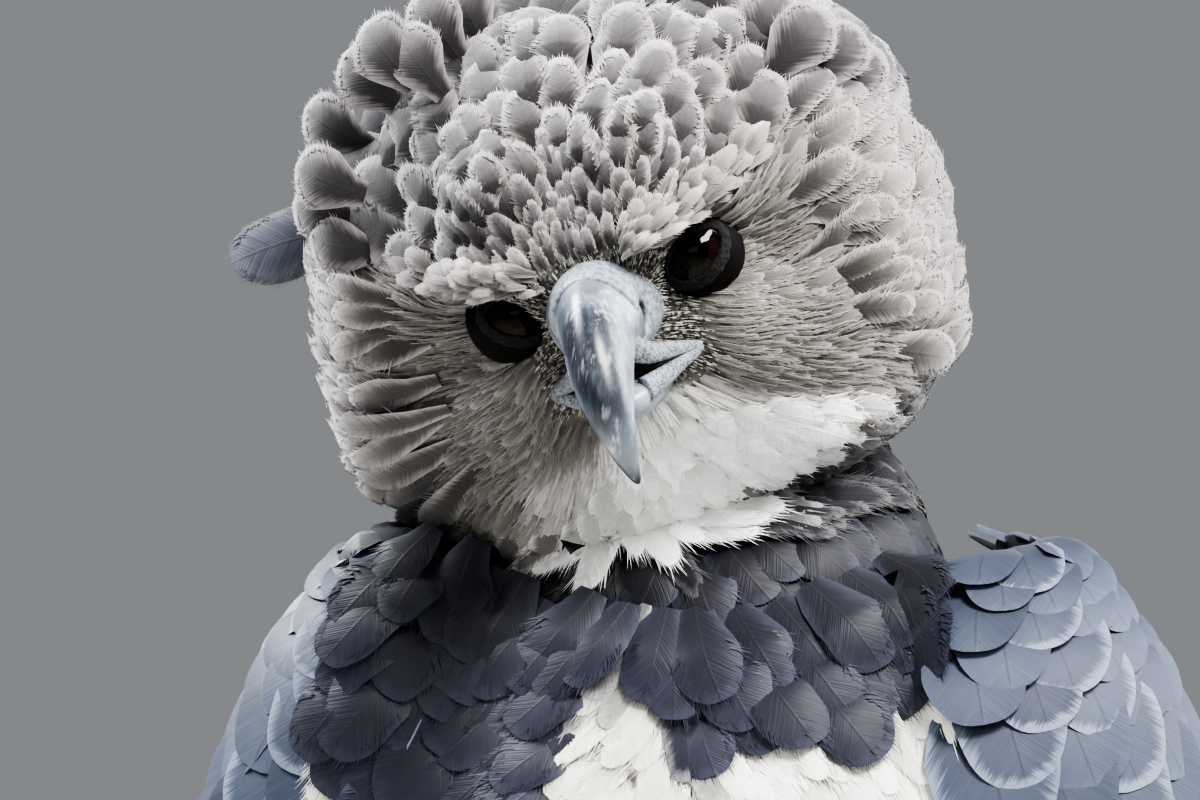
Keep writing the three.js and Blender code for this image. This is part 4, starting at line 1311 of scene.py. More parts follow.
def beakPieces():
    # horn, keeled along its top
    t = mixed(beakLook["cereEnd"] - 0.03, 1.0, np.linspace(0, 1, 72))[:-1]
    turns = np.linspace(0, 2 * math.pi, 64, endpoint=False)
    rings = billAt(t[:, None], turns[None, :], 0.0)
    centre = rings.mean(1, keepdims=True)
    rings[..., :1] = rings[..., :1] * (1 - 0.012 * np.clip(rings[..., 2:] - centre[..., 2:], 0, None))
    points, faces = fromRings(rings)
    off = rings - centre
    height = off[..., 2] / np.maximum(np.abs(off[..., 2]).max(1, keepdims=True), 1e-6)
    along = ease(0.32, 0.44, t)[:, None] * (1 - ease(0.62, 0.8, t))[:, None]
    culmen = ease(0.35, 0.95, height - 0.06 * off[..., 1]) * along
    tipMask = np.broadcast_to(ease(0.82, 0.97, t)[:, None], culmen.shape)
    ridge = np.stack([culmen, tipMask, 0 * culmen], -1).reshape(-1, 3)
    ridge = np.concatenate([[[0, 0, 0]], ridge, [[0, 1, 0]]])
    horn = meshPiece("beakHorn_upper", fromHead(points), faces, hornFinish, {"ridge": ridge})
    dressed(horn, "horn", "beak_upper")
    # cere, a little thicker than the horn, with a rolled edge
    t = np.linspace(0.02, beakLook["cereEnd"], 44)
    swell = beakLook["lip"] * np.sqrt(np.clip((beakLook["cereEnd"] - t) / 0.02, 0, 1))
    points, faces = fromRings(billAt(t[:, None], turns[None, :], swell[:, None]))
    points, hollow = dentNostrils(points)
    dressed(meshPiece("cereSkin", fromHead(points), faces, cereFinish, {"hollow": hollow}), "cere", "cere")
    # lower half
    points, faces = closedForm(lowerAt, 48, 40)
    plain = {"ridge": np.zeros((len(points), 3))}
    dressed(meshPiece("beakHorn_lower", fromHead(points), faces, hornFinish, plain), "horn", "beak_lower")


beakPieces()

# Gape: the fleshy lips that run back from the beak to the corners of the mouth, and the dark between

gapeLook = {
    "lips": [(6.6, -43, -13.4), (9.6, -41.6, -15.8), (12.6, -37.2, -17.4), (15.8, -31.6, -18.7),
             (19.2, -26.8, -20.2), (20.0, -25.8, -20.8), (18.2, -27.8, -21.5), (14.4, -32, -22.5),
             (10.4, -37, -23.6), (6.2, -43.5, -24.4)],
    "lining": [(0, -14, -20.3, 20, 2.6, 2.6), (0, -27, -20.5, 16.6, 2.4, 2.4), (0, -35, -20.4, 12, 2, 2),
               (0, -42, -20.2, 7, 1.4, 1.4)],
    "upper": 3.4, "corner": 1.0, "lower": 3.7, "flat": 0.55,
}


def tubeAlong(path, radius, around, along):  # radius(t) round a smooth path
    at = smoothRows(path)
    t = np.linspace(0, 1, along)
    centre = at(t)
    ahead = unit(np.gradient(centre, axis=0))
    side = unit(np.cross(ahead, [0, 0, 1.0]))
    up = np.cross(side, ahead)
    turns = np.linspace(0, 2 * math.pi, around, endpoint=False)
    size = np.broadcast_to(radius(t), t.shape)[:, None, None]
    across = gapeLook["flat"] * np.cos(turns)[None, :, None] * side[:, None]
    return fromRings(centre[:, None] + size * (across + np.sin(turns)[None, :, None] * up[:, None]))


def gapePieces():
    full = lambda t: np.where(t < 0.5, gapeLook["upper"], gapeLook["lower"])
    narrow = lambda t: mixed(gapeLook["corner"], full(t), np.abs(2 * t - 1.08) ** 1.2)
    for side, word in sides:
        points, faces = tubeAlong(mirrored(gapeLook["lips"], side), narrow, 18, 64)
        dressed(meshPiece(f"lips_{word}", fromHead(points), faces, gapeFinish), "cere")
    points, faces = closedForm(shellOf(gapeLook["lining"], cap=0.2), 32, 20)
    dressed(meshPiece("mouthLining", fromHead(points), faces, mouthFinish), "tongue")
    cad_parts["tongue"].data.materials[0] = mouthFinish


gapePieces()

# Lores: short bristles that grow on the bare skin between beak and eyes

bristleLook = {"Density": 1100000.0, "Long": 0.0032, "Thick": 0.00022, "Seed": 5}


def realized(tree, instances, finish, put):  # the end of a tree: real instances with their material
    real = node(tree, "GeometryNodeRealizeInstances", {"Geometry": instances})
    paint = node(tree, "GeometryNodeSetMaterial", {"Geometry": real.outputs["Geometry"], "Material": finish})
    plug(tree, put["Geometry"], paint.outputs["Geometry"])
    return tree


def bristleTree():  # tapered bristles over a surface, leaning the way its "lie" attribute points
    tree, given, put = newTree("bristles", "GeometryNodeTree", [
        ("Geometry", "Geometry"), ("Density", "Float", 1000000.0), ("Long", "Float", 0.003),
        ("Thick", "Float", 0.0002), ("Seed", "Int", 0), ("Finish", "Material"),
    ], [("Geometry", "Geometry")])
    spots = node(tree, "GeometryNodeDistributePointsOnFaces", {
        "Mesh": given["Geometry"], "Density": given["Density"], "Seed": given["Seed"]}).outputs
    cone = node(tree, "GeometryNodeMeshCone", {
        "Vertices": 5, "Radius Top": 0.00004, "Radius Bottom": given["Thick"], "Depth": given["Long"]})
    lie = node(tree, "GeometryNodeInputNamedAttribute", {"Name": "lie"}, data_type="FLOAT_VECTOR")
    lean = node(tree, "ShaderNodeVectorMath", {0: spots["Normal"], 1: lie.outputs["Attribute"]})
    turn = node(tree, "FunctionNodeAlignRotationToVector", {"Vector": lean.outputs["Vector"]}, axis="Z")
    size = node(tree, "FunctionNodeRandomValue", {"Min": 0.5, "Max": 1.3, "Seed": given["Seed"]})
    bristles = node(tree, "GeometryNodeInstanceOnPoints", {
        "Points": spots["Points"], "Instance": cone.outputs["Mesh"], "Rotation": turn.outputs["Rotation"],
        "Scale": size.outputs[1]})
    return realized(tree, bristles.outputs["Instances"], given["Finish"], put)


def grown(name, mesh, tree, **inputs):  # runs a tree on a mesh and keeps the result as a plain mesh
    seed = placed(name + "Path", mesh)
    modifier = seed.modifiers.new("grow", "NODES")
    modifier.node_group = tree
    for item in tree.interface.items_tree:
        if item.in_out == "INPUT" and item.name in inputs:
            modifier[item.identifier] = inputs[item.name]
    made = plainMesh(seed)
    made.name = name
    made.shade_smooth()
    return made


def bristleCoat():
    material, tree, shader = newMaterial("loreBristles")
    shade = ramp(tree, noise(tree, objectPlace(tree), 900, 2), 0.4, 0.6)
    finish(tree, shader, {"Base Color": blend(tree, shade, tint("3e3c38"), tint("b9b8ae")), "Roughness": 0.7})
    mouth = np.abs(faceZ + 20.5) < mixed(3.6, 1.0, ease(6, 19, np.abs(faceX)))
    lores = (np.abs(faceX) < 21) & (faceY < -12) & (faceZ > -27) & (faceZ < 9) & ~mouth
    lores &= clearOfEyes(headMiddle, (27, -28, -1), (8.6, 14, 5.6))
    kept, faces = np.unique(skin.faces[onHead & lores], return_inverse=True)
    mesh = bpy.data.meshes.new("lores")
    mesh.from_pydata(toFrame(skinPoints[kept]).tolist(), [], faces.reshape(-1, 3).tolist())
    setPoints(mesh, "lie", 1.1 * unit(headLie(skinPoints[kept], None)))
    rough = grown("loresRough", mesh, bristleTree(), Finish=material, **bristleLook)
    points, _, faces = readMesh(rough)
    piece = meshPiece("loreBristles", points, faces, material, bake=spread(headSpots(points)))
    dressed(piece, "head_feathers")
    print("bristles:", len(faces), "triangles")


bristleCoat()

# Body coat: breast, belly, back and thighs, over the same skin

bodyCoat = {"breastWide": 20, "bellyWide": 24, "thighWide": 15}
wingSkin = Ground(*joinedForms([wingFlesh(-1), wingFlesh(1)]))
wingGap = np.linalg.norm(wingSkin.nearest(skin.middle)[0] - skin.middle, axis=1)
thighAxis = smoothRows(thigh)(np.linspace(0, 1, 40))


def nearThigh(points):
    z = points[:, 2]
    ax, ay, r = (np.interp(-z, -thighAxis[:, 2], thighAxis[:, k]) for k in (0, 1, 3))
    off = np.hypot((np.abs(points[:, 0]) - ax) / r, (points[:, 1] - ay) / (1.3 * r))
    return (z < 432) & (off < 1.12) & (np.abs(points[:, 0]) > 8)


def bodyLie(points, normals):
    x, y, z = points[:, 0], points[:, 1], points[:, 2]
    chest = ease(600, 690, z) * (1 - ease(-60, -10, y))
    way = np.stack([0.5 * chest * np.tanh((x + 3) / 14), 0.35 + 0 * x, -1 + 0 * x], -1)
    return unit(way) + 0.14 * wander(points, 40, (1, 2, 4))


# A smooth drape over the breast and the fronts of the wings, for the front feathers to lie on

drapeLook = {
    "step": 4.0, "across": (-112, 100), "up": (590, 780), "reach": 2, "soften": 6, "proud": 2.5,
    # height, left and right border of the feathers on it, then their upper edge across the front
    "borders": [(600, -90, 40), (680, -95, 42), (715, -94, 44), (740, -88, 37), (758, -78, 27),
                (780, -66, 18)],
    "top": [(-90, 752), (-70, 744), (-50, 734), (-20, 731), (10, 735), (30, 745), (44, 760)],
}


def makeDrape():
    step = drapeLook["step"]
    across = np.arange(*drapeLook["across"], step)
    up = np.arange(*drapeLook["up"], step)
    depth = np.full((len(up), len(across)), 30.0)
    places = np.concatenate([skinPoints[~isHead], skin.middle[~onHead]])
    column = np.round((places[:, 0] - across[0]) / step).astype(int)
    row = np.round((places[:, 2] - up[0]) / step).astype(int)
    inside = (column >= 0) & (column < len(across)) & (row >= 0) & (row < len(up))
    np.minimum.at(depth, (row[inside], column[inside]), places[inside, 1])
    for merge, rounds in ((np.min, drapeLook["reach"]), (np.mean, drapeLook["soften"])):
        for _ in range(rounds):
            wide = np.pad(depth, 1, mode="edge")
            around = [wide[i:i + len(up), j:j + len(across)] for i in range(3) for j in range(3)]
            depth = merge(around, axis=0)
    x, z = np.meshgrid(across, up)
    points = np.stack([x, depth - drapeLook["proud"], z], -1).reshape(-1, 3)
    return Ground(points, gridFaces(len(up), len(across))[:, ::-1])


def withinDrape(points):
    heights, left, right = zip(*drapeLook["borders"])
    z = points[:, 2]
    across = 0.985 * points[:, 0] + 0.174 * points[:, 1]
    inside = (across > np.interp(z, heights, left)) & (across < np.interp(z, heights, right)) & (z > 640)
    return inside & (z < np.interp(across, *zip(*drapeLook["top"])))


drape = makeDrape()

breastShape = featherShape(12, 2, root=0.45, blunt=0.7, barbs=34)
bodyShape = featherShape(10, 2, root=0.45, barbs=16)
thighShape = featherShape(5, 1, root=0.45, barbs=7)
darkFeather = featherMaterial("breastSlate", tint("595d70"), contrast=0.24, rimStart=0.4, shaft=0.4,
                              roughness=0.55, sheen=0.15, specular=0.4)
whiteFeather = featherMaterial("bellyWhite", tint("fdfcf9"), spacing=0.9, contrast=0.16, rimStart=0.4,
                               shaft=0.0, rootShade=0.25)


def thighBars(tree, colour):  # black bars across a white feather
    across, along, _ = apart(tree, attribute(tree, "vane"))
    off = times(tree, sums(tree, "ABSOLUTE", across), 0.35)
    wave = sums(tree, "SINE", times(tree, plus(tree, along, off), 2 * math.pi / 7.5))
    way = apart(tree, attribute(tree, "rim"))[1]
    mask = times(tree, ramp(tree, wave, 0.25, 0.6), ramp(tree, way, 0.3, 0.4))
    return blend(tree, mask, colour, tint("24242a"))


thighFeather = featherMaterial("thighBarred", tint("f3efe8"), contrast=0.14, rimStart=0.4, shaft=0.1,
                               bars=thighBars)


def bodyPiece(name, over, keep, wideAt, shape, material, seed, slot="body_feathers", spacing=0.36,
              lengthen=1.6, lift=4.0, **form):
    rng = np.random.default_rng(seed)
    roots, normals = over.scatter(wideAt(over.middle) * spacing, keep, rng)
    wide = wideAt(roots) * rng.uniform(0.86, 1.14, len(roots))
    rise = lift * rng.uniform(0.7, 1.2, len(roots)) * wide / 27
    lines, ups = over.follow(roots, normals, wide * lengthen, bodyLie, shape, 2.5, rise, early=0.6)
    ground, pale = bodyMarksAndShade(roots)
    if over is drape and material is darkFeather:
        ground = np.minimum(ground, bodyTints["slate"])
    centre = np.where(nearThigh(roots), np.sign(roots[:, 0]) * 66, 0)
    coat = featherCoat(name, shape, lines, ups, wide, material, ground, pale, bodySpots(roots, centre), rng,
                       lean=rng.normal(0, 0.08, len(roots)), **form)
    dressed(coat, slot)


def breastWide(points):
    wide = mixed(bodyCoat["breastWide"], bodyCoat["bellyWide"], ease(690, 520, points[:, 2]))
    return wide * mixed(0.72, 1.0, ease(775, 700, points[:, 2]))


def thighWide(points):
    return mixed(bodyCoat["thighWide"] + 9, bodyCoat["thighWide"], ease(400, 190, points[:, 2]))


def bodyCoats():
    middle = skin.middle
    thighs = nearThigh(middle)
    dark = bodyMarksAndShade(middle)[0][:, 0] < 0.2
    darkDrape = bodyMarksAndShade(drape.middle)[0][:, 0] < 0.2
    worn = withinDrape(drape.middle)
    free = ~onHead & (wingGap > 3.2) & ~(withinDrape(middle) & (skin.normal[:, 1] < 0.15))
    belly = {"cup": 0.08, "thick": 0.35, "lift": 5.0, "barb": 3.4, "barbWide": 0.45, "splay": 30,
             "lengthen": 2.2, "spacing": 0.5}
    longer = belly | {"lengthen": 3.2, "barb": 4.5, "splay": 18}
    bodyPiece("breastFeathers", drape, worn & darkDrape, breastWide, breastShape, darkFeather, 31, cup=0.07,
              thick=0.4, barb=2.6, barbWide=0.45, puff=0.35, lift=5.0)
    bodyPiece("bellyFeathers_front", drape, worn & ~darkDrape, lambda points: np.full(len(points), 9.5),
              bodyShape, whiteFeather, 36, **longer)
    bodyPiece("bellyFeathers", skin, free & ~thighs & ~dark & (wingGap > 9),
              lambda points: 0.6 * breastWide(points), bodyShape, whiteFeather, 32, **belly)
    bodyPiece("backFeathers", skin, free & ~thighs & dark, breastWide, bodyShape, darkFeather, 33, thick=0.6,
              barb=1.2, barbWide=0.6)
    bodyPiece("thighFeathers", skin, free & thighs, thighWide, thighShape, thighFeather, 34,
              slot="thigh_feathers", cup=0.15, thick=0.4, lengthen=1.7, barb=2.0)


bodyCoats()

# Wings: rows of coverts over the shoulder, then the long feathers, on the solids' own guides

covertRows = [  # root and tip along the wing, width in millimetres
    (-0.004, 0.055, 20), (0.012, 0.078, 22), (0.03, 0.1, 24), (0.05, 0.126, 26), (0.072, 0.152, 28),
    (0.097, 0.182, 30), (0.125, 0.216, 32), (0.155, 0.252, 34), (0.19, 0.295, 36), (0.23, 0.345, 38),
    (0.275, 0.41, 40), (0.325, 0.5, 42),
]
quillRows = [
    # number, first and last roots and tips along the wing, starts and ends across it,
    # width, lift of root and tip, step from one to the next, lean
    (10, (0.5, 0.56), (1.0, 0.94), (-0.84, -0.3), (-0.5, 0.3), 26, (-16, -14), 1.3, 0.03),
    (12, (0.44, 0.5), (0.87, 0.92), (-0.72, 0.84), (-0.66, 0.7), 34, (-6, 3.0), 0.17, 0.2),
]
wingLook = {"crowd": 0.42, "reach": 0.97, "lift": (-5, 2.6), "turnOut": 1.2, "lean": 0.1}
covertShape = featherShape(11, 2, root=0.5, blunt=0.75)
quillShape = featherShape(8, 7, shoulder=0.82, root=0.55, blunt=0.6)
wingFeather = featherMaterial("wingSlate", tint("828c9d"), contrast=0.16, rimStart=0.7, roughness=0.55,
                              sheen=0.1, specular=0.3, bump=0.3, rootShade=0.25)
quillFeather = featherMaterial("wingQuills", tint("6c7484"), spacing=0.6, contrast=0.14, rimStart=0.8,
                               shaft=0.6, roughness=0.5, sheen=0.05, specular=0.4, bump=0.35)


def wingLines(side, shape, root, tip, start, stop, lift, rise=0.0):
    along = shape["along"][None, :]
    root, tip, start, stop = (np.asarray(v, float)[:, None] for v in (root, tip, start, stop))
    s = root + (tip - root) * along
    w = start + (stop - start) * along
    low, high = lift
    stand = low + (high - low) * np.sin(along * math.pi / 2) ** 1.1
    place, normal = wingFrame(s, w, side)
    return place + normal * (stand + np.asarray(rise, float).reshape(-1, 1))[..., None], normal


def wingSpots(root, start):
    return np.stack([0.5 + 0.45 * start, 0.02 + 0.95 * root], -1)


def wingMarks(root, rng):
    colour = mixed(bodyTints["wing"], bodyTints["wingDark"], (0.6 * rng.random(len(root)))[:, None])
    colour = mixed(colour, bodyTints["wingDark"], (0.6 * ease(0.25, 0.6, root))[:, None])
    return colour, 0.02 + 0.16 * rng.random(len(root))


def wingCoat(side, word):
    rng = np.random.default_rng(40 + side)
    parts = []
    for row, (root, tip, size) in enumerate(covertRows):
        arc = wingBase(np.full(20, root + 0.03), np.linspace(-1, 1, 20))
        arc = np.linalg.norm(np.diff(arc, axis=0), axis=1).sum()
        count = max(5, int(arc / (size * wingLook["crowd"])))
        w = np.linspace(-wingLook["reach"], wingLook["reach"], count) + (row % 2 - 0.5) / count
        w = np.clip(w + rng.normal(0, 0.012, count), -1, 1)
        late = 0.06 * ease(-1, 1, w) * (row == len(covertRows) - 1)
        a = root + rng.normal(0, 0.003, count)
        b = tip + rng.normal(0, 0.004, count) + late
        line, up = wingLines(side, covertShape, a, b, w, w, wingLook["lift"], -wingLook["turnOut"] * w)
        parts.append((line, up, size * rng.uniform(0.9, 1.1, count), a, w))
    lines, ups, wide, roots, starts = stacked(parts)
    shown = ~(withinDrape(lines[:, 0]) & withinDrape(lines[:, -1]) & (ups[:, 0, 1] < 0.3))
    lines, ups, wide, roots, starts = (v[shown] for v in (lines, ups, wide, roots, starts))
    ground, pale = wingMarks(roots, rng)
    fleck = (roots < 0.16) & (starts < -0.55) & (rng.random(len(roots)) < 0.5)
    coat = featherCoat(f"wingCoverts_{word}", covertShape, lines, ups, wide, wingFeather, ground,
                       np.where(fleck, 1.6, pale), wingSpots(roots, starts), rng, cup=0.05, thick=0.25,
                       ragged=0.02, puff=0, lean=wingLook["lean"] * side + rng.normal(0, 0.03, len(roots)))
    dressed(coat, "wing_feathers", f"wing_{word}")


def wingQuills(side, word):
    rng = np.random.default_rng(50 + side)
    parts = []
    for count, root, tip, start, stop, size, lift, stack, lean in quillRows:
        spans = [mixed(a, b, np.linspace(0, 1, count)) for a, b in (root, tip, start, stop)]
        line, up = wingLines(side, quillShape, *spans, lift, stack * np.arange(count))
        parts.append((line, up, oneEach(size, count), spans[0], spans[2], oneEach(-lean * side, count)))
    lines, ups, wide, roots, starts, lean = stacked(parts)
    coat = featherCoat(f"wingQuills_{word}", quillShape, lines, ups, wide, quillFeather,
                       *wingMarks(roots, rng), wingSpots(roots, starts), rng, cup=0.1, thick=0.7,
                       ragged=0.015, puff=0, lean=lean)
    dressed(coat, "wing_feathers")


for side, word in sides:
    wingCoat(side, word)
    wingQuills(side, word)

# Tail: twelve barred feathers in a closed fan, with coverts at its root

tailLook = {
    "length": 400, "drop": 50, "root": (122, 362), "pairs": 6, "wide": 56, "steps": (4, 7.4), "layer": 1.3,
    "bars": [(92, 122), (182, 218), (276, 314), (376, 400)],  # start and stop of each pale band
    "coverts": [(0, 62), (22, 84), (46, 108), (72, 132)],  # root and tip of each row
}
tailDrop = math.radians(tailLook["drop"])
tailWay = np.array([0, math.cos(tailDrop), -math.sin(tailDrop)])
tailUp = np.array([0, math.sin(tailDrop), math.cos(tailDrop)])
tailShape = featherShape(8, 9, shoulder=0.9, root=0.5, blunt=0.6)


def tailPoint(x, way, up):
    x, way, up = np.broadcast_arrays(x, way, up)
    base = np.stack([x, *(np.full(x.shape, float(v)) for v in tailLook["root"])], -1)
    return base + way[..., None] * tailWay + up[..., None] * tailUp


def tailBars(tree, colour):
    vane = attribute(tree, "vane")
    place = plus(tree, apart(tree, vane)[1], times(tree, noise(tree, vane, 0.16, 3), 14.0))
    for start, stop in tailLook["bars"]:
        ends = ramp(tree, place, stop, stop + 5.0, 1.0, 0.0)
        mask = times(tree, ramp(tree, place, start, start + 5.0), ends)
        colour = blend(tree, times(tree, mask, 0.9), colour, tint("8e9097"))
    return colour


tailFeather = featherMaterial("tailBarred", tint("9a9ca2"), spacing=0.6, contrast=0.14, rimStart=0.85,
                              shaft=0.7, roughness=0.5, sheen=0.05, specular=0.4, bars=tailBars)


def tailPieces():
    rng = np.random.default_rng(60)
    order = np.arange(2 * tailLook["pairs"])
    place = ((order // 2) + 0.5) * np.where(order % 2, -1, 1)
    along = tailShape["along"][None, :]
    x = place[:, None] * mixed(*tailLook["steps"], along)
    way = mixed(26, tailLook["length"] - 3 * np.abs(place)[:, None], along)
    lines = tailPoint(x, way, -tailLook["layer"] * order[:, None] - x**2 / 600)
    spots = np.stack([0.5 + 0.07 * place, np.full(len(order), 0.5)], -1)
    fan = featherCoat("tailFan", tailShape, lines, np.broadcast_to(tailUp, lines.shape), tailLook["wide"],
                      tailFeather, tint("2a2b31"), 0.5, spots, rng, cup=0.05, thick=0.7, ragged=0.01,
                      puff=0.1)
    dressed(fan, "tail_feathers", "tail")
    parts = []
    along = covertShape["along"][None, :]
    for up in (1, -1):
        for row, (start, reach) in enumerate(tailLook["coverts"]):
            x = (np.linspace(-1, 1, 7 - row % 2) * (30 - 1.5 * row))[:, None]
            way = start + (reach - start) * along - 0.1 * x**2 / 10
            tall = up * (mixed(13, 6, along) + 0.8 * row) - (0 if up > 0 else 15)
            spine = x * mixed(0.8, 1.15, along)
            line = tailPoint(spine, way, tall - up * spine**2 / 90)
            ground = np.tile(bodyTints["back" if up > 0 else "white"], (len(x), 1))
            spots = np.hstack([0.5 + x / 160, 0 * x + 0.25 + start / 300 + 0.3 * (up > 0)])
            parts.append((line, np.broadcast_to(tailUp * up, line.shape), ground, spots))
    lines, ups, ground, spots = stacked(parts)
    coverts = featherCoat("tailCoverts", covertShape, lines, ups, 27, whiteFeather, ground, 0.3, spots, rng,
                          cup=0.15, thick=0.6)
    dressed(coverts, "tail_feathers")


tailPieces()

# Crest: long dusky feathers behind the crown, and the broad tufts that break its outline

crestLook = {
    "count": 9, "wide": 27, "tufts": 11, "tuftWide": 20, "looseWide": 20,
    # across, up, back and width of each rounded tip, on the right and the left side of the crown
    "lumps": {
        -1: [(-24, 78, 20, 16), (-38, 76, 12, 18), (-47, 70, 20, 17), (-16, 78, 26, 15), (-66, 49, 12, 17),
             (-71, 40, 17, 16), (-69, 31, 12, 15), (-62, 60, 26, 15), (-30, 72, 8, 16)],
        1: [(60, 48, 22, 16), (68, 42, 16, 17), (74, 34, 22, 16), (76, 26, 28, 15), (48, 60, 26, 16)],
    },
    # root, bend and tip of a slate feather that stands off by itself
    "loose": {-1: [(-62, 50, 25), (-82, 54, 31), (-104, 58, 28)], 1: []},
}
crestShape = featherShape(12, 4, shoulder=0.6, root=0.4, blunt=0.75, barbs=26)
crestFeather = featherMaterial("crestDusky", tint("b4aeae"), spacing=0.6, contrast=0.24, rimStart=0.4,
                               shaft=0.12, rootShade=0.5)


def crestPiece(side, word):
    rng = np.random.default_rng(70 + side)
    back = np.array([0, 1.0, 0])
    beside = lambda x, y, z: np.stack([side * x, y + 0 * x, z], -1)
    # long feathers behind the crown: root, bend, tip, up, width and whether dusky
    f = np.linspace(0, 1, crestLook["count"])
    up = unit(beside(mixed(0.1, 0.95, f), 0.15, mixed(1, 0.45, f)))
    root = beside(mixed(13, 55, f), 54.0, mixed(63, 37, f**1.4))
    tip = beside(mixed(20, 72, f), mixed(130, 110, f), mixed(70, 16, f**1.3))
    bend = (root + tip) / 2 + up * 12
    shift = up * (4.0 - 0.9 * np.arange(len(f)))[:, None]
    parts = [(root + shift, bend + shift, tip + shift, up, oneEach(crestLook["wide"], len(f)), 0 * f + 1)]
    # broad tufts on the crown's edge, rising and curling back
    g = np.linspace(0, 1, crestLook["tufts"])
    angle = np.radians(mixed(86, 18, g)) + rng.normal(0, 0.03, len(g))
    out = beside(np.cos(angle), 0, np.sin(angle))
    size = 1 / np.sqrt((np.cos(angle) / 74) ** 2 + (np.sin(angle) / 64) ** 2)
    root = out * (size - 8)[:, None] + back * (20 + rng.uniform(-8, 8, len(g)))[:, None]
    rise = rng.uniform(4, 12, len(g))
    bend = out * (size + rise + 6)[:, None] + back * 30
    tip = out * (size + rise - 1)[:, None] + back * (56 + rng.uniform(-5, 5, len(g)))[:, None]
    wide = crestLook["tuftWide"] * rng.uniform(0.85, 1.15, len(g))
    parts.append((root, bend, tip, unit(out - 0.9 * back), wide, 0 * g))
    # rounded tips that lean out over the crown's edge, seen from the front
    x, z, y, wide = np.array(crestLook["lumps"][side], float).T
    middle = np.stack([x, y, z], -1)
    beyond = unit(np.stack([x, 0 * x, z], -1))
    root, tip = middle - 8 * back - beyond * 16, middle + 2 * back + beyond * 4
    bend = (root + tip) / 2 - back * 6 + beyond * 2
    parts.append((root, bend, tip, unit(0.5 * beyond - back), wide, 0 * x))
    # the loose feather
    loose = np.array(crestLook["loose"][side], float).reshape(-1, 3, 3)
    up = np.tile(unit(np.array([0.0, -0.9, 0.45])), (len(loose), 1))
    ones = np.ones(len(loose))
    parts.append((*loose.transpose(1, 0, 2), up, crestLook["looseWide"] * ones, ones))
    root, bend, tip, up, wide, dusky = stacked(parts)
    lines = fromHead(bent(root, bend, tip, crestShape["along"]))
    ups = np.broadcast_to((up @ headTurn.T)[:, None], lines.shape)
    ground = mixed(headTints["lump"], tint("4e525f"), dusky[:, None])
    coat = featherCoat(f"crestFeathers_{word}", crestShape, lines, ups, wide, crestFeather, ground,
                       0.7 - 0.5 * dusky, headSpots(lines[:, 3]), rng, cup=0.15, thick=0.5, barb=1.6,
                       ragged=0.04)
    dressed(coat, "crest_feathers", f"crest_{word}")


for side, word in sides:
    crestPiece(side, word)

# Legs: bare yellow shanks and toes with raised scutes, black claws

legLook = {"apart": 146, "back": 42, "toeRadius": 11.5, "toeStart": 14, "clawRise": 28, "clawBend": 96}
sole = [
    (73, 14, 12, 13, 13, 12),
    (73, 32, 14, 22, 15, 14),
    (73, 50, 14, 22, 15, 14),
    (73, 68, 12, 13, 13, 11),
]
toes = {  # heading from straight ahead, length, claw length, thickness
    "hallux": (172, 52, 84, 1.14), "inner": (-34, 66, 62, 1.06), "middle": (4, 88, 56, 1.0),
    "outer": (42, 72, 50, 0.94),
}
toePads = smoothRows([1, 1.1, 0.92, 1.08, 0.9, 1.04, 0.9])
shankLook = {
    "back": [90, 84, 72, 56, 42], "height": [184, 146, 106, 62, 12], "radius": [14.5, 15, 13.4, 13.6, 17],
}
shankRows = [smoothRows(v) for v in shankLook.values()]


def footMaterial():
    material, tree, shader = newMaterial("footYellow")
    place = objectPlace(tree)
    edge = cells(tree, place, 420, "DISTANCE_TO_EDGE")
    base = blend(tree, ramp(tree, noise(tree, place, 60, 4), 0.35, 0.65), tint("b8952f"), tint("d9bd57"))
    lined = blend(tree, ramp(tree, edge, 0.0, 0.12, 0.8, 0.0), base, tint("6d5620"))
    finish(tree, shader, {"Base Color": lined, "Roughness": 0.5}, ramp(tree, edge, 0.0, 0.25), 0.6, 0.0006)
    return material


def clawMaterial():
    material, tree, shader = newMaterial("clawBlack")
    streak = noise(tree, objectPlace(tree), 260, 4)
    finish(tree, shader, {
        "Base Color": blend(tree, streak, tint("15151a"), tint("33343c")),
        "Roughness": ramp(tree, streak, 0.3, 0.7, 0.22, 0.4),
    }, streak, 0.2, 0.0003)
    return material


footFinish, clawFinish = footMaterial(), clawMaterial()


def scuteTree():  # plates in a row along a path
    tree, given, put = newTree("scutesAlong", "GeometryNodeTree", [
        ("Geometry", "Geometry"), ("Plates", "Int", 14), ("Wide", "Float", 0.02), ("High", "Float", 0.003),
        ("Long", "Float", 0.008), ("Finish", "Material"),
    ], [("Geometry", "Geometry")])
    path = node(tree, "GeometryNodeMeshToCurve", {"Mesh": given["Geometry"]})
    even = node(tree, "GeometryNodeResampleCurve", {"Curve": path.outputs["Curve"], "Count": given["Plates"]})
    plate = node(tree, "GeometryNodeMeshUVSphere", {"Segments": 10, "Rings": 6, "Radius": 0.5})
    line = node(tree, "GeometryNodeInputTangent")
    turn = node(tree, "FunctionNodeAlignRotationToVector", {"Vector": line.outputs["Tangent"]}, axis="Y",
                pivot_axis="Z")
    plates = node(tree, "GeometryNodeInstanceOnPoints", {
        "Points": even.outputs["Curve"], "Instance": plate.outputs["Mesh"],
        "Rotation": turn.outputs["Rotation"],
        "Scale": together(tree, given["Wide"], given["Long"], given["High"])})
    return realized(tree, plates.outputs["Instances"], given["Finish"], put)


scutes = scuteTree()


def scuteRow(name, path, **sizes):
    mesh = bpy.data.meshes.new("path")
    mesh.from_pydata(toFrame(path).tolist(), [(i, i + 1) for i in range(len(path) - 1)], [])
    dressed(placed(name, grown(name, mesh, scutes, Finish=footFinish, **sizes)), "foot_skin")


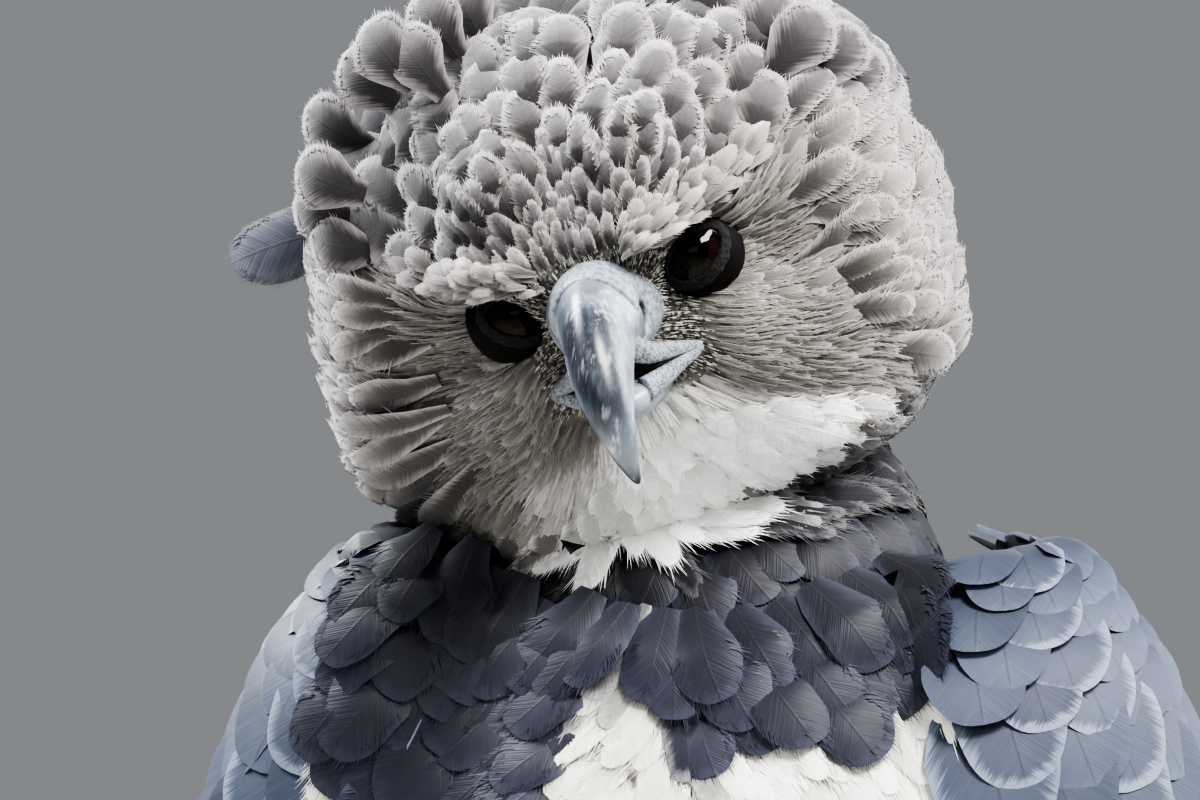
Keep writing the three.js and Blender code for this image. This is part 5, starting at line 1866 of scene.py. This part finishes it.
def footPiece(name, cadName, points, faces):
    points[:, 2] = np.maximum(points[:, 2], 0.0)  # flat on the floor
    dressed(meshPiece(name, points, faces, footFinish), "foot_skin", cadName)


def fromAnkle(side, turn, reach, z):  # places out along a toe, and the way that it points
    turn = math.radians(turn)
    way = np.array([side * math.sin(turn), -math.cos(turn), 0])
    x, y, z = (np.broadcast_to(float(v) if np.isscalar(v) else v, reach.shape)
               for v in (side * legLook["apart"] / 2, legLook["back"], z))
    return np.stack([x, y, z], -1) + way * reach[:, None], way


def toePieces(side, ending, turn, length, claw, thick):
    k = np.linspace(0, 1, 26)
    radius = legLook["toeRadius"] * thick * toePads(k)
    places, way = fromAnkle(side, turn, legLook["toeStart"] + k * length, 9.6 * thick)
    across = (way[1], -way[0], 0)
    stations = np.column_stack([places, radius, radius, radius * 0.98])
    toe = closedForm(shellOf(stations, across=across, cap=0.14), 28, 44)
    footPiece("toeSkin_" + ending, "toe_" + ending, *toe)
    top = places[3:] + np.array([0, 0, 1]) * (radius[3:, None] * 0.66)
    scuteRow("toeScutes_" + ending, top, Plates=int(length / 6), Wide=0.017 * thick, High=0.0085, Long=0.0078)
    # the claw is an arc that narrows to its point
    f = np.linspace(0, 1, 13)
    first, bend = math.radians(legLook["clawRise"]), math.radians(legLook["clawBend"])
    bow = claw / bend
    a = bend * f - first
    reach = legLook["toeStart"] + length - 6 + bow * (np.sin(a) + math.sin(first))
    places, _ = fromAnkle(side, turn, reach, 12.5 + bow * (np.cos(a) - math.cos(first)))
    places[:, 2] += max(0, 2.6 - places[-1, 2]) * f
    size = (1.2 + 8.2 * (1 - f) ** 0.8) * thick
    stations = np.column_stack([places, size * 0.8, size, size])
    points, faces = closedForm(shellOf(stations, across=across, cap=0.08), 20, 36)
    dressed(meshPiece("clawHorn_" + ending, points, faces, clawFinish), "claw", "claw_" + ending)


def legPieces(side, word):
    t = np.linspace(0, 1, 24)
    y, z, r = (row(t) for row in shankRows)
    x = np.full(24, side * legLook["apart"] / 2)
    stations = np.stack([x, y, z, r, r + 1.5, r], -1)
    shank = closedForm(shellOf(stations, cap=0.1), 32, 60)
    foot = closedForm(shellOf(mirrored(sole, side), cap=0.25), 32, 24)
    footPiece(f"shankSkin_{word}", f"shank_{word}", *joinedForms([shank, foot]))
    front = np.stack([x, y - r * 0.72, z], -1)[4:22]
    scuteRow(f"shankScutes_{word}", front, Plates=17, Wide=0.025, High=0.0095, Long=0.0125)
    for name, sizes in toes.items():
        toePieces(side, f"{name}_{word}", *sizes)


for side, word in sides:
    legPieces(side, word)
print("legs are made")

# Floor, light and camera

cameraLook = {"azimuth": 10, "distance": 3.0, "wide": 0.303, "target": (-0.0225, -0.202, 0.7805)}


def makeStage():
    floor = bpy.data.meshes.new("floor")
    floor.from_pydata([(-6, -6, 0), (6, -6, 0), (6, 6, 0), (-6, 6, 0)], [], [(0, 1, 2, 3)])
    material, tree, shader = newMaterial("floorPale")
    cloud = noise(tree, objectPlace(tree), 3, 3)
    finish(tree, shader, {"Base Color": blend(tree, cloud, tint("c9c8c4"), tint("d3d2ce")), "Roughness": 0.8})
    floor.materials.append(material)
    placed("floor", floor)


lightLook = {  # place, size, power and colour; all shine at the head
    "keyLight": ((1.1, -1.0, 2.3), (0.7, 0.7), 66, (1.0, 0.985, 0.96)),
    "leftLight": ((-1.3, 0.0, 2.3), (0.9, 0.9), 70, (0.96, 0.98, 1.0)),
    "frontLight": ((0.1, -2.2, 1.3), (1.6, 1.0), 7, (1.0, 1.0, 1.0)),
    "rimLight": ((-1.3, 1.4, 1.8), (0.9, 0.9), 34, (0.97, 0.98, 1.0)),
    "rimLightRight": ((1.5, 0.5, 1.7), (0.9, 0.9), 26, (0.97, 0.98, 1.0)),
}


def makeLights():
    for name, (place, size, power, colour) in lightLook.items():
        data = bpy.data.lights.new(name, "AREA")
        data.shape = "RECTANGLE"
        data.size, data.size_y = size
        data.energy = power
        data.color = colour
        back = unit(np.array(place) - (0, -0.2, 0.78))
        right = unit(np.cross([0, 0, 1.0], back))
        rows = np.stack([right, np.cross(back, right), back, place], 1)
        placed(name, data).matrix_world = Matrix([*rows.tolist(), (0, 0, 0, 1)])
    world = bpy.data.worlds.new("studio")
    bpy.context.scene.world = world
    world.use_nodes = True
    back = world.node_tree.nodes["Background"]
    back.inputs["Color"].default_value = (0.62, 0.64, 0.66, 1)
    back.inputs["Strength"].default_value = 0.3


def makeCamera():
    data = bpy.data.cameras.new("portrait")
    data.sensor_width = 36
    data.lens = 36 * cameraLook["distance"] / cameraLook["wide"]
    data.clip_start, data.clip_end = 0.1, 50
    camera = placed("portrait", data)
    turn = math.radians(cameraLook["azimuth"])
    back = np.array([math.sin(turn), -math.cos(turn), 0.0])
    camera.location = np.array(cameraLook["target"]) + back * cameraLook["distance"]
    camera.rotation_mode = "XYZ"
    camera.rotation_euler = (math.pi / 2, 0, turn)
    bpy.context.scene.camera = camera


makeStage()
makeLights()
makeCamera()
view = bpy.context.scene.view_settings
view.view_transform = "AgX"
view.look = "AgX - Very High Contrast"
view.exposure = 0.22
print("stage, lights and camera are set")
